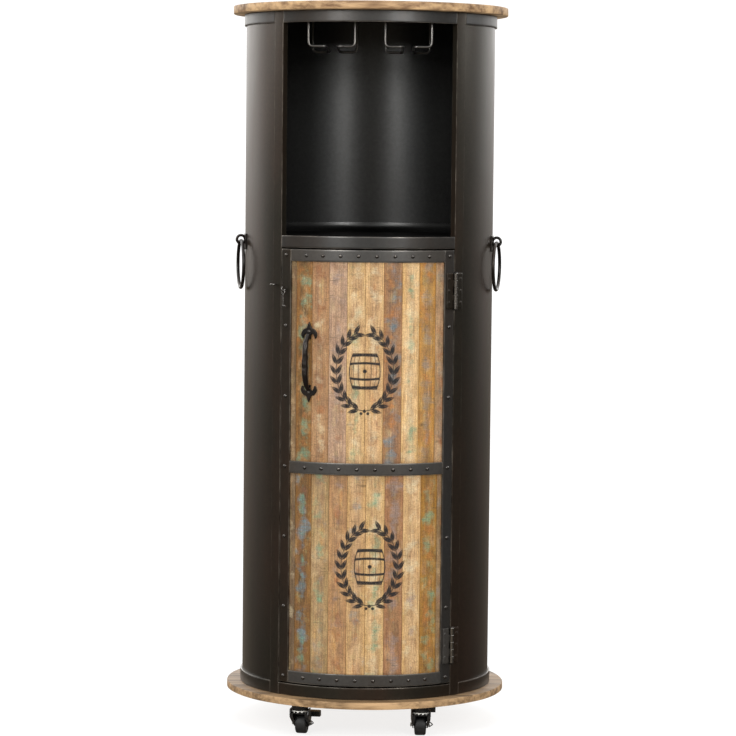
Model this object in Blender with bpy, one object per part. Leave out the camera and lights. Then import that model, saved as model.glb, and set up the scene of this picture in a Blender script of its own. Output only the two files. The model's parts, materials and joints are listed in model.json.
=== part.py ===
"""Round wine bar cabinet on castors, in metres, +Z up, with its door facing -Y.

A drum of steel sheet stands in a welded flat-bar frame between two round wooden boards. The upper
third of the front is an open niche with hanging rails for stemmed glasses. Below it a curved plank
door in a riveted frame swings on two butt hinges and is held by a hook and eye. A ring hangs on
each side, and four swivel castors carry the base board, the front two with a brake pedal.
Angles go round the drum in degrees from the middle of the front, positive to the right.
"""

import math

import bmesh
import bpy
from mathutils import Matrix, Vector

# Fit and fineness
GAP = 0.0003
FACET = 5.0
LEAST_FACET = 0.6

# Wooden boards
TOP_RADIUS = 0.295
TOP_THICKNESS = 0.017
BASE_RADIUS = 0.300
BASE_THICKNESS = 0.015
BOARD_EASE = 0.002
BOARD_SIDES = 60

# Drum and frame
BODY_HEIGHT = 1.435
FRAME_RADIUS = 0.271
BAR_WIDTH = 0.025
BAR_THICKNESS = 0.004
SHEET = 0.002
DOORWAY_ANGLE = 42.0
POST_RETURN = 0.010
NICHE_HEIGHT = 0.4425
NICHE_RIM = 0.020
SHELF_SETBACK = 0.006
SHELF_LIP = 0.015
SHELF_LIP_INSET = 1.0

# Hanging rails for stemmed glasses
RAIL_WIRE = 0.0028
RAIL_CENTRE = 0.080
RAIL_HALF_WIDTH = 0.0485
RAIL_SLOT = 0.0215
RAIL_DROP = 0.073
RAIL_FRONT = -0.195
RAIL_BACK = 0.140
RAIL_BEND = 0.010

# Door
DOOR_END_GAP = 0.003
DOOR_SIDE_GAP = 0.0015
PLANK_THICKNESS = 0.012
UPPER_PLANK_WIDTH = 0.0384
UPPER_PLANK_SHIFT = -0.8
LOWER_PLANK_WIDTH = 0.0394
LOWER_PLANK_SHIFT = 0.2
GROOVE_WIDTH = 0.0016
GROOVE_DEPTH = 0.0014
RIVET_RADIUS = 0.0041
RIVET_HEIGHT = 0.0026
RIVET_SHOULDER = 0.0030
RIVET_PITCH = 0.0381
STRAP_RIVETS = 8
STILE_RIVETS = 7

# Door hinges
HINGE_HEIGHT = 0.075
HINGE_KNUCKLES = 5
UPPER_HINGE_INSET = 0.085
LOWER_HINGE_INSET = 0.079
HINGE_LEAF = 0.002
HINGE_LEAF_WIDTH = 0.022
PIN_RADIUS = 0.0022
PIN_CAP = 0.002

# Pull handle
PULL_ANGLE = -26.7
PULL_DROP = 0.2346
PULL_SPACING = 0.1275
PULL_PLATE = 0.003
PULL_TIP = 0.0205
PULL_HALF_WIDTH = 0.0185
PULL_CURL = 0.0145
PULL_NECK = 0.016
PULL_RISE = 0.0177
PULL_GRIP_MIDDLE = 0.0070
PULL_GRIP_END = 0.0046
PULL_SCREW = 0.0033

# Hook and eye
HOOK_ANGLE = -39.0
HOOK_DROP = 0.0841
CATCH_ANGLE = -45.2
CATCH_RISE = 0.009
EYE_WIRE = 0.0013
EYE_RADIUS = 0.0050
EYE_SHANK = 0.0039
HOOK_EYE_RADIUS = 0.0042
HOOK_LENGTH = 0.029
HOOK_TIP = 0.007

# Side rings
RING_ANGLE = 80.2
RING_DROP = 0.0131
RING_EYE_RADIUS = 0.0083
RING_EYE_WIRE = 0.0026
RING_RADIUS = 0.0505
RING_WIRE = 0.0032
RING_PLATE_WIDTH = 0.022
RING_PLATE_HEIGHT = 0.034
RING_PLATE = 0.003

# Castors
CASTOR_CIRCLE = 0.251
CASTOR_SPREAD = 30.5
CASTOR_TURN = -1.8
CASTOR_HEADINGS = {"front_left": -9.0, "front_right": 3.0, "rear_left": -38.0, "rear_right": 24.0}
WHEEL_RADIUS = 0.0225
WHEEL_WIDTH = 0.023
WHEEL_EDGE = 0.003
WHEEL_SIDES = 16
CASTOR_TRAIL = 0.022
WHEEL_CLEARANCE = 0.002
FORK_SHEET = 0.002
FORK_BULGE = 0.0197
FORK_FOOT = 0.0158
FORK_END = 0.0078
FORK_LENGTH = 0.032
FORK_EAR = 0.0078
EAR_CLEARANCE = 0.0008
EAR_TAPER = 0.75
CUP_HEIGHT = 0.0185
CUP_RADIUS = 0.0175
CUP_WALL = 0.003
CUP_SIDES = 10
CUP_TEETH = 12
TOOTH_HEIGHT = 0.0042
MOUNT_PLATE = 0.0025
MOUNT_WIDTH = 0.042
MOUNT_CORNER = 0.005
KING_RADIUS = 0.005
KING_HEAD = 0.0065
AXLE_RADIUS = 0.003
AXLE_HEAD = 0.0022
AXLE_HEAD_RADIUS = 0.0048
PEDAL_SHEET = 0.0018
PEDAL_PIN = 0.0015
PEDAL_ARM = 0.0048
PEDAL_TAB = 0.034
PEDAL_RISE = 0.0067
PEDAL_DEPTH = 0.020
PEDAL_LIFTS = {"front_left": 0.0, "front_right": 22.0}
SPRING_WIRE = 0.0011
SPRING_REACH = 0.0085

# Heights of the stack, from the floor up
wheel_top = 2 * WHEEL_RADIUS
crown_bottom = wheel_top + WHEEL_CLEARANCE
crown_top = crown_bottom + FORK_SHEET
fork_belly = crown_bottom - 3 * FORK_SHEET
plate_bottom = crown_top + CUP_HEIGHT
plate_top = plate_bottom + MOUNT_PLATE
base_bottom = plate_top + GAP
base_top = base_bottom + BASE_THICKNESS
frame_foot = base_top + GAP
frame_head = frame_foot + BODY_HEIGHT
header_bottom = frame_head - BAR_WIDTH
mid_rail_top = header_bottom - NICHE_HEIGHT
mid_rail_bottom = mid_rail_top - BAR_WIDTH
sill_top = frame_foot + BAR_WIDTH
top_bottom = frame_head + GAP
door_bottom = sill_top + DOOR_END_GAP
door_top = mid_rail_bottom - DOOR_END_GAP
door_middle = (door_bottom + door_top) / 2
shelf_top = door_middle
pull_middle = door_top - PULL_DROP
hook_height = door_top - HOOK_DROP
hook_axis_height = hook_height - EYE_RADIUS
ring_eye_height = mid_rail_top - RING_DROP
ring_axis_height = ring_eye_height - (RING_EYE_RADIUS - RING_EYE_WIRE - RING_WIRE - GAP)

# Radii of the layers, from the frame inward
bar_inner = FRAME_RADIUS - BAR_THICKNESS
sheet_outer = bar_inner - GAP
sheet_inner = sheet_outer - SHEET
plank_outer = bar_inner - GAP
plank_inner = plank_outer - PLANK_THICKNESS
return_inner = bar_inner - POST_RETURN
eye_out = FRAME_RADIUS + GAP + EYE_SHANK + EYE_RADIUS
ring_out = sheet_outer + GAP + RING_EYE_RADIUS + RING_EYE_WIRE


def degrees_of(length, radius):
    """The angle that a length takes up on a circle."""
    return math.degrees(length / radius)


# Angles of the layout
gap_angle = degrees_of(GAP, return_inner)
bar_angle = degrees_of(BAR_WIDTH, FRAME_RADIUS)
post_outer = DOORWAY_ANGLE + bar_angle
return_outer = DOORWAY_ANGLE + degrees_of(BAR_THICKNESS, bar_inner)
door_edge = DOORWAY_ANGLE - degrees_of(DOOR_SIDE_GAP, FRAME_RADIUS)
stile_inner = door_edge - bar_angle
stile_middle = door_edge - bar_angle / 2
strap_end = stile_inner - gap_angle
hinge_angle = DOORWAY_ANGLE - degrees_of(DOOR_SIDE_GAP / 2, FRAME_RADIUS)
knuckle_radius = PIN_RADIUS + GAP + HINGE_LEAF
hinge_radius = FRAME_RADIUS + GAP + knuckle_radius


def polar(radius, angle, height=0.0):
    """A point at a radius and an angle round the drum."""
    turn = math.radians(angle)
    return Vector((radius * math.sin(turn), -radius * math.cos(turn), height))


def arc(radius, start, end):
    """Points along an arc, with its inner points on the facets that all round pieces share."""
    inside = range(math.floor(start / FACET) + 1, math.ceil(end / FACET))
    grid = [FACET * i for i in inside]
    clear = [a for a in grid if a - start > LEAST_FACET and end - a > LEAST_FACET]
    return [polar(radius, angle) for angle in [start, *clear, end]]


def facing(angle):
    """The turn that carries a piece from the front of the drum to an angle round it."""
    return Matrix.Rotation(math.radians(angle), 4, "Z")


def moved(shape, matrix):
    """The shape after a move or a turn."""
    bmesh.ops.transform(shape, matrix=matrix, verts=shape.verts)
    return shape


def prism(outline, bottom, top):
    """A solid with the outline as its plan, between two heights."""
    shape = bmesh.new()
    corners = [shape.verts.new((point[0], point[1], bottom)) for point in outline]
    face = shape.faces.new(corners)
    made = bmesh.ops.extrude_face_region(shape, geom=[face])
    lifted = [item for item in made["geom"] if isinstance(item, bmesh.types.BMVert)]
    bmesh.ops.translate(shape, verts=lifted, vec=(0, 0, top - bottom))
    bmesh.ops.recalc_face_normals(shape, faces=shape.faces)
    return shape


def sector(inner, outer, start, end, bottom, top):
    """A length of bar or sheet rolled round the drum."""
    outline = arc(outer, start, end) + arc(inner, start, end)[::-1]
    return prism(outline, bottom, top)


def turned(profile, steps):
    """A solid turned about Z from (radius, height) points, which close on themselves or on the axis."""
    shape = bmesh.new()
    line = [shape.verts.new((radius, 0, height)) for radius, height in profile]
    edges = [shape.edges.new(pair) for pair in zip(line, line[1:])]
    if profile[0][0] > 0:
        edges.append(shape.edges.new((line[-1], line[0])))
    bmesh.ops.spin(
        shape,
        geom=line + edges,
        cent=(0, 0, 0),
        axis=(0, 0, 1),
        angle=2 * math.pi,
        steps=steps,
        use_merge=True,
    )
    bmesh.ops.remove_doubles(shape, verts=shape.verts, dist=1e-6)
    bmesh.ops.recalc_face_normals(shape, faces=shape.faces)
    return shape


def rod(radius, bottom, top, steps=12):
    """A plain round rod along Z."""
    return turned([(0, top), (radius, top), (radius, bottom), (0, bottom)], steps)


def torus(radius, wire, steps, sides):
    """A ring of round wire, lying flat about the origin."""
    turns = [2 * math.pi * i / sides for i in range(sides)]
    return turned([(radius + wire * math.cos(t), wire * math.sin(t)) for t in turns], steps)


def linked(item):
    """Links a new object to the scene."""
    bpy.context.scene.collection.objects.link(item)
    return item


def scratch(shape):
    """A short-lived object that holds a shape."""
    mesh = bpy.data.meshes.new("scratch")
    shape.to_mesh(mesh)
    shape.free()
    return linked(bpy.data.objects.new("scratch", mesh))


def discard(item):
    """Removes a short-lived object and its data."""
    data = item.data
    bpy.data.objects.remove(item)
    if isinstance(data, bpy.types.Mesh):
        bpy.data.meshes.remove(data)
    else:
        bpy.data.curves.remove(data)


def evaluated(item):
    """The shape of an object with its modifiers or bevel applied."""
    graph = bpy.context.evaluated_depsgraph_get()
    finished = item.evaluated_get(graph)
    shape = bmesh.new()
    shape.from_mesh(finished.to_mesh())
    finished.to_mesh_clear()
    bmesh.ops.remove_doubles(shape, verts=shape.verts, dist=1e-6)
    bmesh.ops.dissolve_limit(shape, angle_limit=math.radians(0.05), verts=shape.verts, edges=shape.edges)
    return shape


def combined(first, second, operation="UNION"):
    """Two shapes joined, cut or intersected."""
    body = scratch(first)
    tool = scratch(second)
    change = body.modifiers.new("change", "BOOLEAN")
    change.operation = operation
    change.solver = "EXACT"
    change.object = tool
    shape = evaluated(body)
    discard(body)
    discard(tool)
    return shape


def gathered(shapes):
    """Shapes that lie apart, as one tool for a single cut or join."""
    whole = bmesh.new()
    for shape in shapes:
        mesh = bpy.data.meshes.new("scratch")
        shape.to_mesh(mesh)
        shape.free()
        whole.from_mesh(mesh)
        bpy.data.meshes.remove(mesh)
    return whole


def bevelled_curve(curve):
    """The closed shape of a curve with a bevel or an extrusion."""
    item = linked(bpy.data.objects.new("scratch", curve))
    shape = evaluated(item)
    discard(item)
    bmesh.ops.recalc_face_normals(shape, faces=shape.faces)
    return shape


def wire(points, radius, thickness=None, fineness=1):
    """Round wire along points; thickness scales it at each point."""
    curve = bpy.data.curves.new("scratch", "CURVE")
    curve.dimensions = "3D"
    curve.bevel_depth = radius
    curve.bevel_resolution = fineness
    curve.use_fill_caps = True
    spline = curve.splines.new("POLY")
    spline.points.add(len(points) - 1)
    for i, point in enumerate(points):
        spline.points[i].co = (*point, 1)
        spline.points[i].radius = thickness[i] if thickness else 1
    return bevelled_curve(curve)


def rounded(corners, radius, steps=3):
    """A path through corners, each bent to a radius."""
    path = [corners[0]]
    for before, corner, after in zip(corners, corners[1:], corners[2:]):
        back = (before - corner).normalized()
        ahead = (after - corner).normalized()
        half = back.angle(ahead) / 2
        reach = radius / math.tan(half)
        centre = corner + (back + ahead).normalized() * (radius / math.sin(half))
        start = (corner + back * reach - centre).normalized()
        end = (corner + ahead * reach - centre).normalized()
        path += [centre + radius * start.slerp(end, i / steps) for i in range(steps + 1)]
    return path + [corners[-1]]


def finish(name, colour, roughness, metallic):
    """A plain material."""
    material = bpy.data.materials.new(name)
    material.use_nodes = True
    surface = material.node_tree.nodes["Principled BSDF"]
    surface.inputs["Base Color"].default_value = (*colour, 1)
    surface.inputs["Roughness"].default_value = roughness
    surface.inputs["Metallic"].default_value = metallic
    material.diffuse_color = (*colour, 1)
    return material


def pivot(name, place, turn=0.0, parent=None):
    """An empty on a joint's axis."""
    item = linked(bpy.data.objects.new(name, None))
    item.empty_display_size = 0.02
    item.matrix_world = Matrix.Translation(place) @ facing(turn)
    bpy.context.view_layer.update()
    if parent:
        item.parent = parent
        item.matrix_parent_inverse = parent.matrix_world.inverted()
        bpy.context.view_layer.update()
    return item


def piece(name, shape, material, parent=None):
    """A finished piece of the cabinet."""
    mesh = bpy.data.meshes.new(name)
    shape.to_mesh(mesh)
    shape.free()
    mesh.materials.clear()
    mesh.materials.append(material)
    mesh.shade_smooth()
    mesh.set_sharp_from_angle(angle=math.radians(32))
    item = linked(bpy.data.objects.new(name, mesh))
    if parent:
        item.parent = parent
        item.matrix_parent_inverse = parent.matrix_world.inverted()
    return item


def board(radius, bottom, top):
    """A round board with eased edges."""
    ease = BOARD_EASE
    profile = [
        (0, top),
        (radius - ease, top),
        (radius, top - ease),
        (radius, bottom + ease),
        (radius - ease, bottom),
        (0, bottom),
    ]
    return turned(profile, BOARD_SIDES)


def post(side):
    """An angle-section post, with its return leg at the doorway."""
    outline = arc(FRAME_RADIUS, DOORWAY_ANGLE, post_outer)
    outline += arc(bar_inner, return_outer, post_outer)[::-1]
    outline += [polar(return_inner, return_outer), polar(return_inner, DOORWAY_ANGLE)]
    mirrored = [(side * point.x, point.y) for point in outline]
    return prism(mirrored, frame_foot, frame_head)


def notched_disc(front_radius, bottom, top):
    """A plate that fills the drum and steps round the return legs of both posts."""
    inside = DOORWAY_ANGLE - gap_angle
    outside = return_outer + gap_angle
    notch = return_inner - GAP
    outline = arc(front_radius, -inside, inside)
    outline += [polar(notch, inside), polar(notch, outside)]
    outline += arc(sheet_inner - GAP, outside, 360 - outside)
    outline += [polar(notch, -outside), polar(notch, -inside)]
    return prism(outline, bottom, top)


def niche_tray():
    """The niche's floor, pressed as a tray whose rim stands up along the back wall."""
    outside = return_outer + gap_angle
    rim_outer = sheet_inner - GAP
    floor = notched_disc(bar_inner - GAP, mid_rail_top - SHEET, mid_rail_top)
    rim = sector(
        rim_outer - SHEET,
        rim_outer,
        outside,
        360 - outside,
        mid_rail_top - SHEET / 2,
        mid_rail_top + NICHE_RIM,
    )
    return combined(floor, rim)


def lipped_shelf():
    """The shelf behind the door, with a folded front lip."""
    front = plank_inner - SHELF_SETBACK
    inside = DOORWAY_ANGLE - gap_angle
    plate = notched_disc(front, shelf_top - SHEET, shelf_top)
    end = inside - SHELF_LIP_INSET
    lip = sector(front - SHEET, front, -end, end, shelf_top - SHELF_LIP, shelf_top - SHEET / 2)
    return combined(plate, lip)


def glass_rail(centre, side):
    """One bent wire of a hanging rail; two of them leave a slot for the stems."""
    top = frame_head - GAP - SHEET - GAP
    low = frame_head - RAIL_DROP
    wide = centre + side * RAIL_HALF_WIDTH
    narrow = centre + side * RAIL_SLOT / 2
    corners = [
        Vector((wide, RAIL_FRONT, top)),
        Vector((wide, RAIL_FRONT, low)),
        Vector((narrow, RAIL_FRONT, low)),
        Vector((narrow, RAIL_BACK, low)),
        Vector((wide, RAIL_BACK, low)),
        Vector((wide, RAIL_BACK, top)),
    ]
    return wire(rounded(corners, RAIL_BEND, 2), RAIL_WIRE)


def rivet(angle, height):
    """A dome-headed rivet that stands on the outer face of a bar."""
    sink = BAR_THICKNESS / 2
    rise = 0.7 * RIVET_HEIGHT
    flare = RIVET_RADIUS + (RIVET_RADIUS - RIVET_SHOULDER) * sink / rise
    profile = [(0, RIVET_HEIGHT), (RIVET_SHOULDER, rise), (flare, -sink), (0, -sink)]
    outward = Matrix.Translation((0, -FRAME_RADIUS, height)) @ Matrix.Rotation(math.pi / 2, 4, "X")
    return moved(turned(profile, 8), facing(angle) @ outward)


def door_strap(bottom):
    """A cross bar of the door frame, with its row of rivets."""
    bar = sector(bar_inner, FRAME_RADIUS, -strap_end, strap_end, bottom, bottom + BAR_WIDTH)
    pitch = degrees_of(RIVET_PITCH, FRAME_RADIUS)
    angles = [(i - (STRAP_RIVETS - 1) / 2) * pitch for i in range(STRAP_RIVETS)]
    rivets = [rivet(angle, bottom + BAR_WIDTH / 2) for angle in angles]
    return combined(bar, gathered(rivets))


def door_stile(side):
    """An upright of the door frame, with its column of rivets."""
    ends = sorted((side * stile_inner, side * door_edge))
    bar = sector(bar_inner, FRAME_RADIUS, *ends, door_bottom, door_top)
    lowest = door_bottom + BAR_WIDTH / 2
    step = (door_top - door_bottom - BAR_WIDTH) / (STILE_RIVETS - 1)
    rivets = [rivet(side * stile_middle, lowest + i * step) for i in range(STILE_RIVETS)]
    return combined(bar, gathered(rivets))


def plank_panel(width, shift, bottom, top):
    """Planks edge to edge behind the door frame, with a groove at each joint."""
    pitch = degrees_of(width, plank_outer)
    groove = degrees_of(GROOVE_WIDTH, plank_outer) / 2
    count = int(door_edge // pitch)
    joints = [shift + i * pitch for i in range(-count, count + 1)]
    joints = [joint for joint in joints if abs(joint) + 2 * groove < door_edge]
    outline = []
    start = -door_edge
    for joint in joints:
        outline += arc(plank_outer, start, joint - groove)
        outline.append(polar(plank_outer - GROOVE_DEPTH, joint))
        start = joint + groove
    outline += arc(plank_outer, start, door_edge)
    outline += arc(plank_inner, -door_edge, door_edge)[::-1]
    return prism(outline, bottom, top)


def hinge_half(centre, side, own):
    """A hinge leaf with the knuckles that it rolls round the pin; side is -1 for the door's half."""
    bottom = centre - HINGE_HEIGHT / 2
    step = HINGE_HEIGHT / HINGE_KNUCKLES
    under = FRAME_RADIUS + GAP
    over = under + HINGE_LEAF
    near = hinge_angle + side * degrees_of(knuckle_radius + 2 * GAP, FRAME_RADIUS)
    far = hinge_angle + side * degrees_of(HINGE_LEAF_WIDTH, FRAME_RADIUS)
    overlap = near + side * degrees_of(HINGE_LEAF, FRAME_RADIUS)
    leaf = sector(under, over, *sorted((near, far)), bottom, bottom + HINGE_HEIGHT)
    spans = [(bottom + i * step + GAP / 2, bottom + (i + 1) * step - GAP / 2) for i in own]
    necks = [sector(under, over, *sorted((hinge_angle, overlap)), *span) for span in spans]
    axis = Matrix.Translation(polar(hinge_radius, hinge_angle))
    knuckles = [moved(rod(knuckle_radius, *span, 8), axis) for span in spans]
    half = combined(combined(leaf, gathered(necks)), gathered(knuckles))
    bore = moved(rod(PIN_RADIUS + GAP, bottom - HINGE_LEAF, bottom + HINGE_HEIGHT + HINGE_LEAF, 8), axis)
    return combined(half, bore, "DIFFERENCE")


def hinge_pin(centre):
    """A hinge pin with a cap at each end."""
    end = HINGE_HEIGHT / 2 + GAP
    cap = end + PIN_CAP
    wide = knuckle_radius - PIN_CAP / 4
    profile = [
        (0, cap),
        (wide - PIN_CAP / 2, cap),
        (wide, cap - PIN_CAP / 2),
        (wide, end),
        (PIN_RADIUS, end),
        (PIN_RADIUS, -end),
        (wide, -end),
        (wide, PIN_CAP / 2 - cap),
        (wide - PIN_CAP / 2, -cap),
        (0, -cap),
    ]
    return moved(turned(profile, 8), Matrix.Translation(polar(hinge_radius, hinge_angle, centre)))


def fleur_plate():
    """A forged end plate: a spear point between two lobes that curl back."""
    wide = PULL_HALF_WIDTH
    tip = PULL_TIP
    curl = PULL_CURL
    half = [
        (0.34 * wide, 0.40 * tip),
        (0.36 * wide, 0.20 * tip),
        (0.68 * wide, 0.24 * tip),
        (wide, -0.20 * curl),
        (0.86 * wide, -0.86 * curl),
        (0.70 * wide, -curl),
        (0.58 * wide, -0.78 * curl),
        (0.60 * wide, -0.40 * curl),
        (0.30 * wide, -0.50 * curl),
    ]
    neck = [(0.24 * wide, -PULL_NECK), (-0.24 * wide, -PULL_NECK)]
    outline = [(0, tip), *half, *neck, *[(-x, z) for x, z in half[::-1]]]
    curve = bpy.data.curves.new("scratch", "CURVE")
    curve.dimensions = "2D"
    curve.fill_mode = "BOTH"
    curve.extrude = PULL_PLATE / 2
    curve.resolution_u = 2
    spline = curve.splines.new("BEZIER")
    spline.bezier_points.add(len(outline) - 1)
    for knot, point in zip(spline.bezier_points, outline):
        knot.co = (*point, 0)
        kind = "VECTOR" if point in neck or point[0] == 0 else "AUTO"
        knot.handle_left_type = kind
        knot.handle_right_type = kind
    spline.use_cyclic_u = True
    return moved(bevelled_curve(curve), Matrix.Rotation(math.pi / 2, 4, "X"))


def pull_handle():
    """The forged door pull: two fleur plates, a bowed grip and two screw heads."""
    seat = -(plank_outer + GAP + PULL_PLATE / 2)
    reach = PULL_SPACING / 2
    upper = Matrix.Translation((0, seat, pull_middle + reach))
    lower = Matrix.Translation((0, seat, pull_middle - reach)) @ Matrix.Rotation(math.pi, 4, "Y")
    plates = gathered([moved(fleur_plate(), upper), moved(fleur_plate(), lower)])
    steps = 10
    half = reach - PULL_CURL / 2
    taper = PULL_GRIP_END / PULL_GRIP_MIDDLE
    path = []
    swell = []
    for i in range(steps + 1):
        t = 2 * i / steps - 1
        out = PULL_GRIP_END + (PULL_RISE - PULL_GRIP_END) * (1 - t**4)
        path.append((0, seat - out, pull_middle + t * half))
        swell.append(taper + (1 - taper) * (1 - t * t))
    grip = wire(path, PULL_GRIP_MIDDLE, swell, 2)
    heads = []
    for place in (upper, lower):
        dome = turned([(0, PULL_SCREW), (0.7 * PULL_SCREW, 0.8 * PULL_SCREW), (PULL_SCREW, 0), (0, 0)], 8)
        heads.append(moved(dome, place @ Matrix.Rotation(math.pi / 2, 4, "X")))
    whole = combined(combined(plates, grip), gathered(heads))
    return moved(whole, facing(PULL_ANGLE))


def screw_eye(height, turn):
    """A small eye of wire on a shank that stands on a radius; turn stands the eye up."""
    loop = moved(torus(EYE_RADIUS, EYE_WIRE, 12, 6), Matrix.Translation((0, -eye_out, height)) @ turn)
    foot = Matrix.Translation((0, -(FRAME_RADIUS + GAP), height)) @ Matrix.Rotation(math.pi / 2, 4, "X")
    shank = moved(rod(EYE_WIRE, 0, EYE_SHANK + EYE_WIRE / 2, 8), foot)
    return combined(loop, shank)


def latch_hook():
    """The hook, hanging by its own eye from the eye on the door."""
    top = hook_axis_height - (HOOK_EYE_RADIUS - 2 * EYE_WIRE - GAP)
    eye = torus(HOOK_EYE_RADIUS, EYE_WIRE, 12, 6)
    eye = moved(eye, Matrix.Translation((0, -eye_out, top)) @ Matrix.Rotation(math.pi / 2, 4, "X"))
    corners = [
        Vector((0, -eye_out, top - HOOK_EYE_RADIUS)),
        Vector((0, -eye_out, top - HOOK_LENGTH)),
        Vector((HOOK_TIP, -eye_out, top - HOOK_LENGTH)),
    ]
    shank = wire(rounded(corners, 2 * EYE_WIRE), EYE_WIRE)
    return moved(combined(eye, shank), facing(HOOK_ANGLE))


def ring_eye(angle):
    """The eye that a side ring hangs in, on its base plate."""
    half = degrees_of(RING_PLATE_WIDTH / 2, sheet_outer)
    seat = sheet_outer + GAP
    middle = ring_eye_height - RING_PLATE_HEIGHT / 8
    low = middle - RING_PLATE_HEIGHT / 2
    base = sector(seat, seat + RING_PLATE, -half, half, low, low + RING_PLATE_HEIGHT)
    loop = torus(RING_EYE_RADIUS, RING_EYE_WIRE, 14, 6)
    stand = Matrix.Translation((0, -ring_out, ring_eye_height)) @ Matrix.Rotation(math.pi / 2, 4, "Y")
    return moved(combined(base, moved(loop, stand)), facing(angle))


def side_ring(angle):
    """A ring that hangs in its eye, flat along the drum."""
    ring = torus(RING_RADIUS, RING_WIRE, 28, 6)
    stand = Matrix.Translation((0, -ring_out, ring_axis_height - RING_RADIUS))
    return moved(ring, facing(angle) @ stand @ Matrix.Rotation(math.pi / 2, 4, "X"))


def castor_plate(braked):
    """The fixed half of a castor: mounting plate, swivel cup and king pin, with lock teeth if braked."""
    half = MOUNT_WIDTH / 2
    near = half - MOUNT_CORNER
    octagon = [(half, near), (near, half), (-near, half), (-half, near)]
    octagon += [(-x, -y) for x, y in octagon]
    plate = prism(octagon, plate_bottom, plate_top)
    rim = crown_top + GAP + TOOTH_HEIGHT
    profile = [
        (0, plate_bottom + MOUNT_PLATE / 2),
        (CUP_RADIUS - CUP_WALL, plate_bottom + MOUNT_PLATE / 2),
        (CUP_RADIUS, plate_bottom - CUP_WALL),
        (CUP_RADIUS, rim),
        (2 * KING_RADIUS, rim),
        (2 * KING_RADIUS, crown_top + GAP),
        (KING_RADIUS, crown_top + GAP),
        (KING_RADIUS, crown_bottom - GAP),
        (KING_HEAD, crown_bottom - GAP),
        (0, crown_bottom - FORK_SHEET),
    ]
    whole = combined(plate, turned(profile, CUP_SIDES))
    return combined(whole, lock_teeth(rim)) if braked else whole


def lock_teeth(rim):
    """The ring of pointed teeth under the rim of a braked castor's swivel cup."""
    shape = bmesh.new()
    rings = []
    outer = CUP_RADIUS * math.cos(math.pi / CUP_SIDES) - GAP
    inner = outer - CUP_WALL
    for i in range(2 * CUP_TEETH):
        angle = 180 * i / CUP_TEETH
        low = rim - TOOTH_HEIGHT if i % 2 else rim - TOOTH_HEIGHT / 8
        high = rim + CUP_WALL / 2
        section = [polar(outer, angle, high), polar(outer, angle, low)]
        section += [polar(inner, angle, low), polar(inner, angle, high)]
        rings.append([shape.verts.new(point) for point in section])
    for near, far in zip(rings, rings[1:] + rings[:1]):
        for i in range(len(near)):
            shape.faces.new((near[i - 1], near[i], far[i], far[i - 1]))
    bmesh.ops.recalc_face_normals(shape, faces=shape.faces)
    return shape


def fork_profile():
    """Outer half widths and heights up a cheek: narrow at the axle, widest at the belly."""
    low = WHEEL_RADIUS - FORK_END
    steps = 2
    profile = []
    for i in range(steps + 1):
        swell = math.sin(math.pi / 2 * i / steps)
        wide = FORK_FOOT + (FORK_BULGE - FORK_FOOT) * swell
        profile.append((wide, low + (fork_belly - low) * i / steps))
    return profile


def fork_half_width(height):
    """The outer half width of the fork at a height below its belly."""
    for (narrow, low), (wide, high) in zip(fork_profile(), fork_profile()[1:]):
        if height <= high:
            return narrow + (wide - narrow) * (height - low) / (high - low)
    return FORK_BULGE


def castor_fork(braked):
    """A pressed fork: a bulged channel, with an ear on each side of the cup, cut to its side outline."""
    cheek = fork_profile()
    ear_inner = CUP_RADIUS + EAR_CLEARANCE
    ear_outer = ear_inner + FORK_SHEET
    ear_top = crown_top + FORK_EAR
    ear = [(ear_inner, crown_top), (ear_inner, ear_top), (ear_outer, ear_top), (ear_outer, crown_bottom)]
    inner = [(x - FORK_SHEET, z) for x, z in cheek]
    inner += [(FORK_BULGE - 3 * FORK_SHEET, crown_bottom)]
    half = ear + cheek[::-1] + inner
    channel = half + [(-x, z) for x, z in half[::-1]]
    stand = Matrix.Rotation(math.pi / 2, 4, "X")
    reach = CASTOR_TRAIL + FORK_LENGTH
    section = moved(prism(channel, -reach, reach), stand)
    front = FORK_LENGTH / 2
    ends = [math.radians(a) for a in (200, 270, 340)]
    side = [(CASTOR_TRAIL + FORK_END * math.cos(a), WHEEL_RADIUS + FORK_END * math.sin(a)) for a in ends]
    above = ear_top + FORK_SHEET
    side += [(CASTOR_TRAIL + FORK_END, fork_belly), (front, crown_top), (EAR_TAPER * front, above)]
    side += [(-EAR_TAPER * front, above), (-front, crown_top), (-front, fork_belly)]
    upright = Matrix.Rotation(math.pi / 2, 4, "Z") @ Matrix.Rotation(math.pi / 2, 4, "X")
    cheeks = moved(prism(side, -2 * FORK_BULGE, 2 * FORK_BULGE), upright)
    fork = combined(section, cheeks, "INTERSECT")
    across = Matrix.Rotation(math.pi / 2, 4, "Y")
    wide = 2 * FORK_BULGE
    axle_hole = moved(rod(AXLE_RADIUS + GAP, -wide, wide, 8), across)
    axle_hole = moved(axle_hole, Matrix.Translation((0, CASTOR_TRAIL, WHEEL_RADIUS)))
    king_hole = rod(KING_RADIUS + GAP, crown_bottom - FORK_SHEET, crown_top + FORK_SHEET, CUP_SIDES)
    holes = [axle_hole, king_hole]
    if braked:
        pin_hole = moved(rod(PEDAL_PIN + GAP, -wide, wide, 8), across)
        holes.append(moved(pin_hole, Matrix.Translation(pedal_point())))
    return combined(fork, gathered(holes), "DIFFERENCE")


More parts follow.
